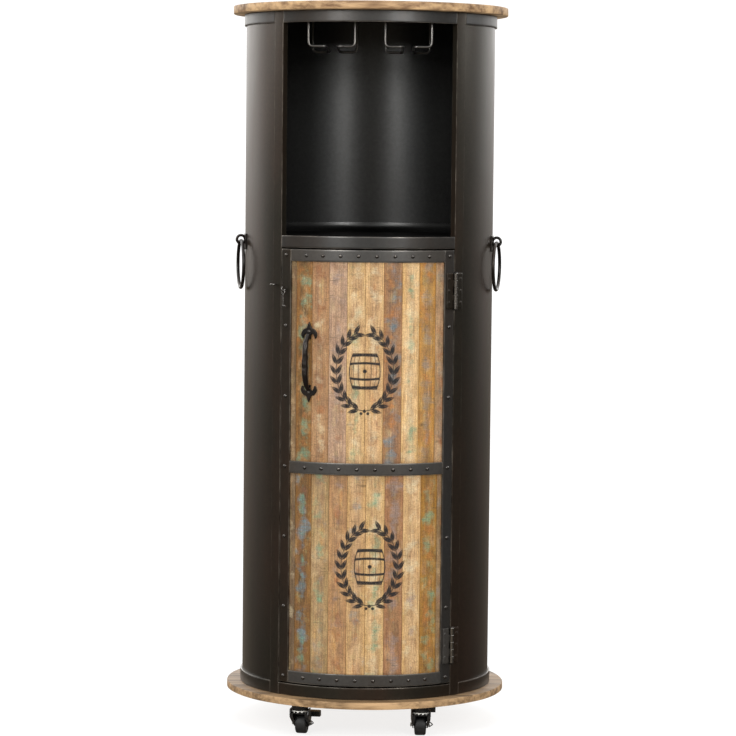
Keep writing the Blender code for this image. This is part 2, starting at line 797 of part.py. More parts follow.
def castor_axle():
    """The wheel's axle, with a flat head outside each cheek."""
    end = fork_half_width(WHEEL_RADIUS + AXLE_RADIUS * 2) + GAP
    head = end + AXLE_HEAD
    wide = AXLE_HEAD_RADIUS
    profile = [(0, head), (wide, head), (wide, end), (AXLE_RADIUS, end)]
    profile += [(radius, -along) for radius, along in profile[::-1]]
    across = Matrix.Translation((0, CASTOR_TRAIL, WHEEL_RADIUS)) @ Matrix.Rotation(math.pi / 2, 4, "Y")
    return moved(turned(profile, 8), across)


def castor_wheel():
    """A solid wheel with rounded tread edges and a hub that fills the fork."""
    tread = WHEEL_RADIUS / math.cos(math.pi / WHEEL_SIDES)
    half = WHEEL_WIDTH / 2
    hub = fork_half_width(WHEEL_RADIUS - 2 * AXLE_RADIUS) - FORK_SHEET - 2 * GAP
    profile = [
        (AXLE_RADIUS + 2 * GAP, hub),
        (2 * AXLE_RADIUS, hub),
        (tread - WHEEL_EDGE, half),
        (tread, half - WHEEL_EDGE),
    ]
    profile += [(radius, -along) for radius, along in profile[::-1]]
    upright = Matrix.Rotation(math.pi / 2, 4, "Y") @ Matrix.Rotation(math.pi / WHEEL_SIDES, 4, "Z")
    wheel = moved(turned(profile, WHEEL_SIDES), upright)
    return moved(wheel, Matrix.Translation((0, CASTOR_TRAIL, WHEEL_RADIUS)))


def pedal_point():
    """The pin that a brake pedal turns on, in its castor's frame."""
    return Vector((0, CASTOR_TRAIL - FORK_END, fork_belly - PEDAL_ARM))


def brake_pedal():
    """A brake pedal, pressed: two arms inside the cheeks and a foot plate that runs out to the right."""
    pin = pedal_point()
    deep = PEDAL_ARM
    outer = fork_half_width(pin.z - 2 * deep) - FORK_SHEET - GAP
    inner = outer - PEDAL_SHEET
    behind = CASTOR_TRAIL + WHEEL_RADIUS + WHEEL_CLEARANCE
    side = [
        (pin.y - deep, pin.z),
        (pin.y, pin.z + deep / 2),
        (behind + PEDAL_SHEET, pin.z + deep / 2),
        (behind + PEDAL_SHEET, pin.z - deep / 2),
        (pin.y, pin.z - deep),
    ]
    upright = Matrix.Rotation(math.pi / 2, 4, "Z") @ Matrix.Rotation(math.pi / 2, 4, "X")
    arms = [moved(prism(side, inner, outer), upright), moved(prism(side, -outer, -inner), upright)]
    corner = PEDAL_DEPTH / 4
    edge = outer + PEDAL_SHEET / 2
    back = behind + PEDAL_DEPTH
    plan = [(PEDAL_TAB, behind), (PEDAL_TAB, back - corner), (PEDAL_TAB - corner, back)]
    plan += [(corner - edge, back), (-edge, back - corner), (-edge, behind)]
    foot = prism(plan, pin.z - deep, pin.z + PEDAL_RISE)
    across = Matrix.Translation(pin) @ Matrix.Rotation(math.pi / 2, 4, "Y")
    reach = fork_half_width(pin.z) + PEDAL_SHEET / 2
    stubs = [rod(PEDAL_PIN, inner + GAP, reach, 8), rod(PEDAL_PIN, -reach, -inner - GAP, 8)]
    return combined(combined(foot, gathered(arms)), moved(gathered(stubs), across))


def brake_spring():
    """The bent wire of the brake, which stands out from the right cheek as a small triangle."""
    high = WHEEL_RADIUS + AXLE_HEAD_RADIUS + SPRING_WIRE
    low = WHEEL_RADIUS - AXLE_HEAD_RADIUS + SPRING_WIRE
    spot = CASTOR_TRAIL - AXLE_HEAD_RADIUS - 2 * GAP - SPRING_WIRE
    top_seat = fork_half_width(high + SPRING_WIRE) + GAP
    low_seat = fork_half_width(low + SPRING_WIRE) + GAP
    straight = 2 * SPRING_WIRE
    corners = [
        Vector((top_seat, spot, high)),
        Vector((top_seat + straight, spot, high)),
        Vector((low_seat + straight + SPRING_REACH, spot, (high + low) / 2)),
        Vector((low_seat + straight, spot, low)),
        Vector((low_seat, spot, low)),
    ]
    return wire(rounded(corners, SPRING_WIRE, 1), SPRING_WIRE)


def build_body(wood, steel):
    """The boards, the drum, its frame, shelves and glass rails."""
    piece("base_board", board(BASE_RADIUS, base_bottom, base_top), wood)
    piece("top_board", board(TOP_RADIUS, top_bottom, top_bottom + TOP_THICKNESS), wood)
    open_end = return_outer + gap_angle
    sheet = (sheet_inner, sheet_outer, open_end, 360 - open_end)
    piece("body_shell", sector(*sheet, frame_foot, frame_head), steel)
    hoop_end = post_outer + gap_angle
    hoop = (bar_inner, FRAME_RADIUS, hoop_end, 360 - hoop_end)
    piece("top_hoop", sector(*hoop, header_bottom, frame_head), steel)
    piece("bottom_hoop", sector(*hoop, frame_foot, sill_top), steel)
    piece("left_post", post(-1), steel)
    piece("right_post", post(1), steel)
    rail_end = DOORWAY_ANGLE - gap_angle
    rail = (bar_inner, FRAME_RADIUS, -rail_end, rail_end)
    piece("header_rail", sector(*rail, header_bottom, frame_head), steel)
    piece("mid_rail", sector(*rail, mid_rail_bottom, mid_rail_top), steel)
    piece("sill_rail", sector(*rail, frame_foot, sill_top), steel)
    behind_rail = bar_inner - GAP
    piece("ceiling_plate", notched_disc(behind_rail, frame_head - SHEET - GAP, frame_head - GAP), steel)
    piece("niche_floor", niche_tray(), steel)
    piece("inner_shelf", lipped_shelf(), steel)
    piece("cabinet_floor", notched_disc(behind_rail, frame_foot, frame_foot + SHEET), steel)
    for side, name in ((-1, "left"), (1, "right")):
        piece(f"{name}_glass_rail_inner", glass_rail(side * RAIL_CENTRE, -side), steel)
        piece(f"{name}_glass_rail_outer", glass_rail(side * RAIL_CENTRE, side), steel)


def build_door(planks, steel, iron):
    """The door on its pins, with the pull and the hook."""
    door = pivot("door_axis", polar(hinge_radius, hinge_angle))
    piece("door_top_strap", door_strap(door_top - BAR_WIDTH), steel, door)
    piece("door_mid_strap", door_strap(door_middle - BAR_WIDTH / 2), steel, door)
    piece("door_bottom_strap", door_strap(door_bottom), steel, door)
    piece("door_latch_stile", door_stile(-1), steel, door)
    piece("door_hinge_stile", door_stile(1), steel, door)
    upper = plank_panel(UPPER_PLANK_WIDTH, UPPER_PLANK_SHIFT, door_middle + GAP, door_top - DOOR_END_GAP)
    lower = plank_panel(LOWER_PLANK_WIDTH, LOWER_PLANK_SHIFT, door_bottom + DOOR_END_GAP, door_middle - GAP)
    piece("upper_plank_panel", upper, planks, door)
    piece("lower_plank_panel", lower, planks, door)
    piece("pull_handle", pull_handle(), iron, door)
    post_knuckles = range(0, HINGE_KNUCKLES, 2)
    door_knuckles = range(1, HINGE_KNUCKLES, 2)
    centres = {"upper": door_top - UPPER_HINGE_INSET, "lower": door_bottom + LOWER_HINGE_INSET}
    for name, centre in centres.items():
        piece(f"{name}_hinge_post_leaf", hinge_half(centre, 1, post_knuckles), steel)
        piece(f"{name}_hinge_door_leaf", hinge_half(centre, -1, door_knuckles), steel, door)
        piece(f"{name}_hinge_pin", hinge_pin(centre), iron)
    upright = Matrix.Rotation(math.pi / 2, 4, "Y")
    eye = moved(screw_eye(hook_height, upright), facing(HOOK_ANGLE))
    piece("hook_eye", eye, iron, door)
    hook = pivot("hook_axis", polar(eye_out, HOOK_ANGLE, hook_axis_height), HOOK_ANGLE, door)
    piece("latch_hook", latch_hook(), iron, hook)
    catch = moved(screw_eye(hook_height + CATCH_RISE, Matrix.Identity(4)), facing(CATCH_ANGLE))
    piece("catch_eye", catch, iron)


def build_rings(iron):
    """The ring on each side, in its eye."""
    for side, name in ((-1, "left"), (1, "right")):
        angle = side * RING_ANGLE
        piece(f"{name}_ring_eye", ring_eye(angle), iron)
        axis = pivot(f"{name}_ring_axis", polar(ring_out, angle, ring_axis_height), angle)
        piece(f"{name}_ring", side_ring(angle), iron, axis)


def build_castors(zinc, black, rubber):
    """Four castors on one circle, the front pair braked."""
    places = {
        "front_left": -CASTOR_SPREAD,
        "front_right": CASTOR_SPREAD,
        "rear_left": 180 + CASTOR_SPREAD,
        "rear_right": 180 - CASTOR_SPREAD,
    }
    for name, angle in places.items():
        braked = name.startswith("front")
        spot = polar(CASTOR_CIRCLE, angle + CASTOR_TURN)
        swivel = pivot(f"{name}_swivel_axis", spot, CASTOR_HEADINGS[name])
        frame = swivel.matrix_world.copy()
        flat = Matrix.Translation(spot)
        piece(f"{name}_castor_plate", moved(castor_plate(braked), flat), zinc)
        piece(f"{name}_castor_fork", moved(castor_fork(braked), frame), black, swivel)
        piece(f"{name}_castor_axle", moved(castor_axle(), frame), zinc, swivel)
        middle = frame @ Vector((0, CASTOR_TRAIL, WHEEL_RADIUS))
        axle = pivot(f"{name}_wheel_axis", middle, CASTOR_HEADINGS[name], swivel)
        piece(f"{name}_castor_wheel", moved(castor_wheel(), frame), rubber, axle)
        if braked:
            pin = pivot(f"{name}_pedal_axis", frame @ pedal_point(), CASTOR_HEADINGS[name], swivel)
            lift = Matrix.Rotation(math.radians(PEDAL_LIFTS[name]), 4, "X")
            about = Matrix.Translation(pedal_point())
            pedal = moved(brake_pedal(), frame @ about @ lift @ about.inverted())
            piece(f"{name}_brake_pedal", pedal, black, pin)
            piece(f"{name}_brake_spring", moved(brake_spring(), frame), black, swivel)


def main():
    for item in list(bpy.data.objects):
        bpy.data.objects.remove(item, do_unlink=True)
    wood = finish("mango_wood", (0.52, 0.36, 0.21), 0.62, 0.0)
    planks = finish("reclaimed_planks", (0.50, 0.33, 0.18), 0.72, 0.0)
    steel = finish("blackened_steel", (0.045, 0.042, 0.038), 0.42, 0.85)
    iron = finish("forged_iron", (0.025, 0.024, 0.023), 0.50, 0.85)
    zinc = finish("zinc_plate", (0.55, 0.54, 0.50), 0.38, 1.0)
    black = finish("black_lacquered_steel", (0.015, 0.015, 0.016), 0.40, 0.0)
    rubber = finish("black_rubber", (0.018, 0.018, 0.018), 0.75, 0.0)
    build_body(wood, steel)
    build_door(planks, steel, iron)
    build_rings(iron)
    build_castors(zinc, black, rubber)


main()
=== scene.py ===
# %% [markdown]
# # A round wine bar cabinet, dressed for a studio picture
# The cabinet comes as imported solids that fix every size, place and joint. This lesson gives it its
# looks. The solids are faceted, so nearly every piece is built again here with finer rounds and eased
# edges, on the same body and in the same place. Every finish is made from nodes, in real sizes.

import json
import math

import bmesh
import bpy
import numpy as np
from mathutils import Matrix, Vector

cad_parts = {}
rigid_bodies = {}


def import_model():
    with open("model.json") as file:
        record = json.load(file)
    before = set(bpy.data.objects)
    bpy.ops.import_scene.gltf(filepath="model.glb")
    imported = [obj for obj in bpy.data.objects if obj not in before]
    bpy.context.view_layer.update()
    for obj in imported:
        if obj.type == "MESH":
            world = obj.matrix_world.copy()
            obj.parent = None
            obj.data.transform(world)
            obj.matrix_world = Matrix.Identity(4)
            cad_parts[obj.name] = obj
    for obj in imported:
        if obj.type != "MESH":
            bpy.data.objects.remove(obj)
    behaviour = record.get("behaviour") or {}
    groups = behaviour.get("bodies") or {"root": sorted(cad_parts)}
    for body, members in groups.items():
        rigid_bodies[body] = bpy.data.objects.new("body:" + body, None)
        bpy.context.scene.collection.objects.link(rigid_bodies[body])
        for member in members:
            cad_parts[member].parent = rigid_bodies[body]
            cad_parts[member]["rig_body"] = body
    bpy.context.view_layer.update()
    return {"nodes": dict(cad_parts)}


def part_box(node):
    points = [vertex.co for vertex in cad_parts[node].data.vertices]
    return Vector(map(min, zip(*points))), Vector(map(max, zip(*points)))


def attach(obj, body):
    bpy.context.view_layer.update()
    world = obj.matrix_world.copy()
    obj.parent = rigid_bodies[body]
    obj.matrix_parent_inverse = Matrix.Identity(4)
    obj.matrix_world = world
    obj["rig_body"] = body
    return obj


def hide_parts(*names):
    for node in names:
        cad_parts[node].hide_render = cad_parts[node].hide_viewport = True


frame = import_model()
nodes = frame["nodes"]

# %% [markdown]
# Sizes come from the solids themselves. A drum is easiest to read in round coordinates: how far a point
# lies from the axis, its angle from the middle of the front, and its height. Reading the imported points
# keeps each new piece exactly where its solid is, with no number typed twice.

# %% Read sizes from the solids
MM = 0.001
BEHIND = 150.0


def solid_points(node):
    """The points of a solid, one in each row."""
    return np.array([vertex.co for vertex in nodes[node].data.vertices])


def round_places(node):
    """Radius, angle from the front in degrees, and height of each point of a solid."""
    points = solid_points(node)
    angle = np.degrees(np.arctan2(points[:, 0], -points[:, 1]))
    return np.hypot(points[:, 0], points[:, 1]), angle, points[:, 2]


def angle_span(node):
    """First and last angle of a rolled solid, counted on past 180 for one that passes behind."""
    angle = round_places(node)[1]
    if np.abs(angle).max() > BEHIND:
        angle = angle % 360
    return angle.min(), angle.max()


def height_span(node):
    """Lowest and highest point of a solid."""
    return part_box(node)[0].z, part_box(node)[1].z


bar_inner = round_places("header_rail")[0].min()
bar_outer = round_places("header_rail")[0].max()
print(f"flat bars from {bar_inner / MM:.1f} to {bar_outer / MM:.1f} mm off the axis")

# %% [markdown]
# A shape is a list of points, a list of faces and, for most, a number called wear at each point: 1 on an
# edge that hands and cloths rub, 0 inside a face. Rings of points joined into a closed skin make most of
# them, which is how a rolled bar, a post or a board is swept. Shapes can be joined, moved by a matrix or
# given the same wear all over.

# %% Helpers for shapes
up = Vector((0, 0, 1))


def polar(radius, angle, height):
    """A point round the drum; the angle is in degrees from the middle of the front."""
    turn = math.radians(angle)
    return (radius * math.sin(turn), -radius * math.cos(turn), height)


def skin(rings, closed=False):
    """Points and faces of rings of equal length joined in turn, capped at both ends unless closed."""
    size = len(rings[0])
    points = [point for ring in rings for point in ring]
    faces = []
    for i in range(len(rings) if closed else len(rings) - 1):
        near = i * size
        far = (i + 1) % len(rings) * size
        for j in range(size):
            k = (j + 1) % size
            faces.append((near + j, near + k, far + k, far + j))
    if not closed:
        last = (len(rings) - 1) * size
        faces.append(tuple(range(size))[::-1])
        faces.append(tuple(range(last, last + size)))
    return points, faces


def joined(*shapes):
    """Several shapes as one list of points, faces and wear."""
    points, faces, wear = [], [], []
    for some_points, some_faces, some_wear in shapes:
        faces += [tuple(i + len(points) for i in face) for face in some_faces]
        points += list(some_points)
        wear += list(some_wear)
    return points, faces, wear


def plain(shape, worn):
    """A shape with the same wear at each point."""
    return (*shape[:2], [worn] * len(shape[0]))


def put(shape, matrix):
    """A shape moved by a matrix."""
    return ([matrix @ Vector(point) for point in shape[0]], *shape[1:])


print("a skin of two square rings has", len(skin([[(0, 0, 0)] * 4] * 2)[1]), "faces")

# %% [markdown]
# One function turns a shape into a piece of the scene. It makes the mesh smooth, keeps the wear as a number
# that finishes can read, and hands the piece over: it rides on the body of the solid it stands for and
# takes its place.

# %% A piece from a shape


def outward(mesh):
    """Turns every face of a closed mesh to look outward."""
    shape = bmesh.new()
    shape.from_mesh(mesh)
    bmesh.ops.recalc_face_normals(shape, faces=shape.faces)
    shape.to_mesh(mesh)
    shape.free()


def mark(mesh, name, values):
    """Keeps a number at each point of a mesh, for finishes to read."""
    mesh.attributes.new(name, "FLOAT", "POINT").data.foreach_set("value", values)


def new_piece(name, shape, finish, node, sharp=40):
    """A smooth mesh with a finish that rides where a solid does, and stands for it."""
    points, faces, *wear = shape
    mesh = bpy.data.meshes.new(name)
    mesh.from_pydata(points, [], faces)
    outward(mesh)
    mesh.shade_smooth()
    mesh.set_sharp_from_angle(angle=math.radians(sharp))
    for values in wear:
        mark(mesh, "wear", values)
    mesh.materials.append(finish)
    piece = bpy.data.objects.new(name, mesh)
    bpy.context.scene.collection.objects.link(piece)
    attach(piece, nodes[node]["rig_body"])
    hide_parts(node)
    return piece


# %% [markdown]
# Colours are written as the sRGB hex values that a paint chart or a picture program shows. Shaders
# count in linear light, so one function converts them. One more adds any node with its settings, and
# its inputs are either set or linked to another node. The settings of a mix of two colours, and of a colour
# shaded by a grey, are used so often that they have names. Pattern sizes are given in millimetres: a noise
# texture of scale s has blobs about 1/s of a metre wide.

# %% Helpers for finishes


def colour(code):
    """Linear RGBA from an sRGB hex code."""
    parts = [int(code[i : i + 2], 16) / 255 for i in (1, 3, 5)]
    return (*[c / 12.92 if c <= 0.04045 else ((c + 0.055) / 1.055) ** 2.4 for c in parts], 1.0)


def plug(node, inputs):
    """Sets inputs by name or number, or links them to a socket, or to the first output of a node."""
    for name, value in inputs.items():
        if isinstance(value, bpy.types.Node):
            value = next(socket for socket in value.outputs if socket.enabled)
        if isinstance(value, bpy.types.NodeSocket):
            node.id_data.links.new(value, node.inputs[name])
        else:
            node.inputs[name].default_value = value


def add(tree, kind, inputs=None, **settings):
    """A shader node of a kind, with its settings and its inputs."""
    made = tree.nodes.new("ShaderNode" + kind)
    for name, value in settings.items():
        setattr(made, name, value)
    plug(made, inputs or {})
    return made


BLENDING = {"data_type": "RGBA"}
SHADING = {"data_type": "RGBA", "blend_type": "MULTIPLY"}


def per(size_mm):
    """Scale of a pattern whose features are that many millimetres wide."""
    return 1000.0 / size_mm


def new_finish(name, **values):
    """A material with a Principled surface; the values go on the surface's own sockets."""
    finish = bpy.data.materials.new(name)
    finish.use_nodes = True
    surface = finish.node_tree.nodes["Principled BSDF"]
    plug(surface, {socket.replace("_", " "): value for socket, value in values.items()})
    return finish, finish.node_tree, surface


print("white is", [round(c, 2) for c in colour("#ffffff")])

# %% [markdown]
# Blackened steel: sheet and flat bar, torched or chemically blackened and then waxed. The wax leaves a
# satin gloss, handling leaves a brown patina in clouds, and the edges are rubbed back to grey metal. So
# the colour mixes a cool black with a warm brown by a large soft noise, drawn out upright as the runs of
# the blackening are. The black skin is an oxide, half way between a stain and a metal, so the metallic
# value lies between the two. The wear number of the edges, broken by a noise, brings bare steel. Clouds are
# 30 to 260 mm wide, the mottle of the oxide 7 mm, and the shallow dents of rolled sheet 90 mm.

# %% Finish: blackened steel
MOTTLE_MM = 7
CHIPS_MM = 45
DENTS_MM = 90


def blackened_steel(name, black, brown, cloud_mm, rough, metal=0.6, bare="#7d756a", wax=0.25):
    """Blackened, waxed steel with brown clouds and edges rubbed bare."""
    finish, tree, surface = new_finish(
        name, Metallic=metal, Coat_Weight=wax, Coat_Roughness=0.32, Specular_IOR_Level=2 * wax
    )
    place = add(tree, "TexCoord").outputs["Object"]
    runs = add(tree, "Mapping", {"Vector": place, "Scale": (1, 1, 0.3)})
    cloud = add(tree, "TexNoise", {"Vector": runs, "Scale": per(cloud_mm), "Detail": 5, "Roughness": 0.6})
    mottle = add(tree, "TexNoise", {"Vector": place, "Scale": per(MOTTLE_MM), "Detail": 4, "Roughness": 0.7})
    patch = add(tree, "MapRange", {0: cloud, 1: 0.42, 2: 0.68})
    ground = add(tree, "Mix", {0: patch, 6: colour(black), 7: colour(brown)}, **BLENDING)
    shade = add(tree, "MapRange", {0: mottle, 1: 0.3, 2: 0.7, 3: 0.82, 4: 1.14})
    mottled = add(tree, "Mix", {0: 1.0, 6: ground, 7: shade}, **SHADING)
    edge = add(tree, "Attribute", attribute_name="wear").outputs["Fac"]
    chips = add(tree, "TexNoise", {"Vector": place, "Scale": per(CHIPS_MM), "Detail": 5, "Roughness": 0.6})
    chipped = add(tree, "Math", {0: edge, 1: chips}, operation="MULTIPLY")
    rubbed = add(tree, "MapRange", {0: chipped, 1: 0.36, 2: 0.74, 4: 0.7})
    final = add(tree, "Mix", {0: rubbed, 6: mottled, 7: colour(bare)}, **BLENDING)
    gloss = add(tree, "MapRange", {0: cloud, 1: 0.3, 2: 0.7, 3: rough - 0.05, 4: rough + 0.08})
    dents = add(tree, "TexNoise", {"Vector": place, "Scale": per(DENTS_MM), "Detail": 2})
    wave = add(tree, "Bump", {"Height": dents, "Strength": 0.25, "Distance": 1.2 * MM})
    scale = add(tree, "Bump", {"Height": mottle, "Strength": 0.25, "Distance": 0.15 * MM, "Normal": wave})
    plug(surface, {"Base Color": final, "Roughness": gloss, "Normal": scale})
    return finish


sheet_steel = blackened_steel("blackened_steel_sheet", "#2c271e", "#342519", 150, 0.34, 0.75)
inner_steel = blackened_steel("blackened_steel_inside", "#3a3a39", "#353432", 260, 0.31, 0.86)
bar_steel = blackened_steel("blackened_steel_bar", "#2f2e2c", "#2c251e", 120, 0.38, 0.6)
strap_steel = blackened_steel("blackened_steel_strap", "#3c3a37", "#38322b", 120, 0.38, 0.45)
# Painted shade: the niche floor is made near black and matt, darker than its own steel, to stand for the
# shade there.
floor_shade_steel = blackened_steel("near_black_steel_painted_shade", "#060606", "#090807", 90, 0.75, 0.0, wax=0.03)
hammered_iron = blackened_steel("hammered_black_iron", "#1d1c1b", "#2a211a", 40, 0.36, 0.8, "#6a645c", 0.2)
rubbed_steel = blackened_steel("hand_rubbed_steel", "#4a4744", "#3f3832", 30, 0.24, 0.9)
latch_steel = blackened_steel("waxed_steel_wire", "#6a6763", "#5e5954", 30, 0.2, 0.95)
burnished_steel = blackened_steel("burnished_steel", "#98948e", "#85807a", 30, 0.18, 1.0, "#a8a49c")
rail_steel = blackened_steel("drawn_steel_wire", "#6a6865", "#5b5752", 60, 0.30, 0.95)
print("steel finishes:", sheet_steel.name, bar_steel.name, hammered_iron.name)

# %% [markdown]
# Every flat bar and the drum's sheet are one shape: a small section rolled round the axis. The section is
# an oblong with eased corners, and a row of points a few millimetres in from each corner keeps the faces
# flat and ends the wear. The first and last ring are drawn in by the ease, which rounds the bar's ends.

# %% Rolled bars and sheet
EASE = 0.6 * MM
CORNER_STEPS = 2
END_EASE = 0.6 * EASE
RUB = 3.0 * MM
ARC_STEP = 1.5


def eased_section(inner, outer, bottom, top, ease):
    """(radius, height, wear) round an oblong section with eased corners."""
    section = []
    corners = [(outer, bottom, -1, 1), (outer, top, -1, -1), (inner, top, 1, -1), (inner, bottom, 1, 1)]
    for i, (radius, height, back, up) in enumerate(corners):
        centre = (radius + back * ease, height + up * ease)
        first = math.atan2(-up, 0) if i % 2 == 0 else math.atan2(0, -back)
        last = math.atan2(0, -back) if i % 2 == 0 else math.atan2(-up, 0)
        if last - first > math.pi:
            last -= 2 * math.pi
        if first - last > math.pi:
            last += 2 * math.pi
        for step in range(CORNER_STEPS + 1):
            turn = first + (last - first) * step / CORNER_STEPS
            section.append((centre[0] + ease * math.cos(turn), centre[1] + ease * math.sin(turn), 1.0))
        if i in (0, 2):
            rise = 1 if i == 0 else -1
            section.append((radius, height + rise * (ease + RUB), 0.0))
            section.append((radius, (bottom + top) / 2 + rise * ((top - bottom) / 2 - ease - RUB), 0.0))
    return section


def rolled(inner, outer, start, end, bottom, top):
    """Points, faces and wear of a bar rolled round the drum."""
    nip = math.degrees(EASE / outer)
    rub = math.degrees(RUB / outer)
    count = max(2, round((end - start - 2 * nip - 2 * rub) / ARC_STEP))
    inside = np.linspace(start + nip + rub, end - nip - rub, count + 1)
    stations = [(start, END_EASE, 1.0), (start + nip, 0, 1.0)]
    stations += [(angle, 0, 0.0) for angle in inside]
    stations += [(end - nip, 0, 1.0), (end, END_EASE, 1.0)]
    rings = []
    wear = []
    for angle, inset, worn in stations:
        section = eased_section(inner + inset, outer - inset, bottom + inset, top - inset, EASE)
        rings.append([polar(radius, angle, height) for radius, height, _ in section])
        wear += [max(worn, rubbed) for _, _, rubbed in section]
    return (*skin(rings), wear)


def rolled_piece(node, finish):
    """A finely rolled piece in the place of a faceted one."""
    radius = round_places(node)[0]
    shape = rolled(radius.min(), radius.max(), *angle_span(node), *height_span(node))
    return new_piece(node.replace("body_", "drum_") + "_rolled", shape, finish, node)


drum = rolled_piece("body_shell", sheet_steel)
drum.data.materials.append(inner_steel)
for face in drum.data.polygons:
    if face.normal.x * face.center.x + face.normal.y * face.center.y < 0:
        face.material_index = 1
for node in ("top_hoop", "header_rail", "mid_rail"):
    rolled_piece(node, bar_steel)
for node in ("bottom_hoop", "sill_rail"):
    rolled_piece(node, sheet_steel)
print("rolled the drum, the hoops and the rails")

# %% [markdown]
# The posts are steel angle: one leg lies on the drum and the other turns in at the doorway. The same plan
# is swept straight up. Its points are read from the solid: the short leg is whatever lies nearer the axis
# than the bars do.

# %% Posts
POST_RINGS = 40
RUB_TURN = 0.7
ROOT_TURN = 0.2

for node in ("left_post", "right_post"):
    radius, angle, height = round_places(node)
    side = math.copysign(1, angle.mean())
    inner_leg = np.abs(angle[radius < bar_inner - MM])
    door_side = inner_leg.min()
    leg_back = inner_leg.max()
    far = np.abs(angle).max()
    nip = math.degrees(EASE / bar_outer)
    plan = [(bar_outer - EASE, door_side, 1), (bar_outer, door_side + nip, 1)]
    plan += [(bar_outer, a, 0) for a in np.linspace(door_side + RUB_TURN, far - RUB_TURN, 6)]
    plan += [(bar_outer, far - nip, 1), (bar_outer - EASE, far, 1), (bar_inner, far, 1)]
    plan += [(bar_inner, a, 0) for a in np.linspace(far - RUB_TURN, leg_back + ROOT_TURN, 5)]
    plan += [(bar_inner, leg_back, 0), (radius.min() + EASE, leg_back, 1), (radius.min(), leg_back - nip, 1)]
    plan += [(radius.min(), door_side + nip, 1), (radius.min() + EASE, door_side, 1)]
    plan += [(radius.min() + RUB, door_side, 0), (bar_outer - RUB, door_side, 0)]
    levels = np.linspace(height.min(), height.max(), POST_RINGS)
    rings = [[polar(r, side * a, z) for r, a, _ in plan] for z in levels]
    wear = [worn for _ in rings for _, _, worn in plan]
    new_piece(node + "_angle", (*skin(rings), wear), sheet_steel, node)
print("swept both posts")

# %% [markdown]
# The door frame is riveted: straps across, stiles up the sides, and a dome-headed rivet every few
# centimetres. The solids hold the rivets as small facets, so their tops are found as the points that
# stand farthest out. Each facet has its own copy of the top, so places that repeat are dropped, and a
# smooth dome is turned on each place left. Heads are rubbed by hands, so they carry wear.

# %% Door straps, stiles and rivets
HEAD_RADIUS = 4.1 * MM
HEAD_RISE = 2.6 * MM
HEAD_SINK = 1.0 * MM
DOME_SIDES = 18
DOME_LEVELS = 5
DOME_TIP = 0.05 * MM


def dome(angle, height, radius, rise, base, sides=DOME_SIDES, levels=DOME_LEVELS, tip=DOME_TIP):
    """Points, faces and wear of a rivet or screw head that stands on a round face."""
    axis = Vector(polar(1, angle, 0))
    across = Vector((-axis.y, axis.x, 0))
    middle = Vector(polar(base, angle, height))
    around = [2 * math.pi * i / sides for i in range(sides)]
    rings = []
    for level in range(levels + 1):
        turn = math.pi / 2 * level / levels
        reach = max(radius * math.cos(turn), tip)
        centre = middle + axis * (rise * math.sin(turn))
        rings.append([centre + across * (reach * math.cos(t)) + up * (reach * math.sin(t)) for t in around])
    foot = [point - axis * HEAD_SINK for point in rings[0]]
    shares = [0.0, *[level / levels for level in range(levels + 1)]]
    return (*skin([foot, *rings]), [share for share in shares for _ in range(sides)])


def rivet_places(node):
    """Angle and height of each rivet top on a strap or stile."""
    radius, angle, height = round_places(node)
    top = radius > radius.max() - 0.05 * MM
    return list(dict.fromkeys(zip(np.round(angle[top], 3), np.round(height[top], 5))))


DOOR_STEEL = {
    "door_top_strap": strap_steel,
    "door_mid_strap": strap_steel,
    "door_bottom_strap": strap_steel,
    "door_latch_stile": sheet_steel,
    "door_hinge_stile": bar_steel,
}
for node, steel in DOOR_STEEL.items():
    bar = rolled(bar_inner, bar_outer, *angle_span(node), *height_span(node))
    heads = [dome(a, z, HEAD_RADIUS, HEAD_RISE, bar_outer) for a, z in rivet_places(node)]
    strap = new_piece(node + "_riveted", joined(bar, *heads), steel, node)
    strap.data.materials.append(rubbed_steel)
    for face in strap.data.polygons[len(bar[1]) :]:
        face.material_index = 1
    print(node, "with", len(heads), "rivets")

# %% [markdown]
# The boards are mango wood, glued up from staves and turned to a disc. Mango is pale brown with long
# darker streaks and small flecks. The staves run from side to side, so the front of the rim shows long
# grain. The colour comes from one noise stretched along the staves, with a tone for each stave. The pores
# are a fifth of a millimetre wide, too fine for the picture, so they are drawn as flecks of 1.6 mm. A face
# that looks up is painted a shade darker than the edge: this is painted shade, not a trait of the wood.

# %% Finish: mango wood
TOP_FACE_PAINTED_SHADE = 0.6
GRAIN_MM = 9
FIGURE_MM = 60
FLECK_MM = 1.6
STAVE_MM = 92


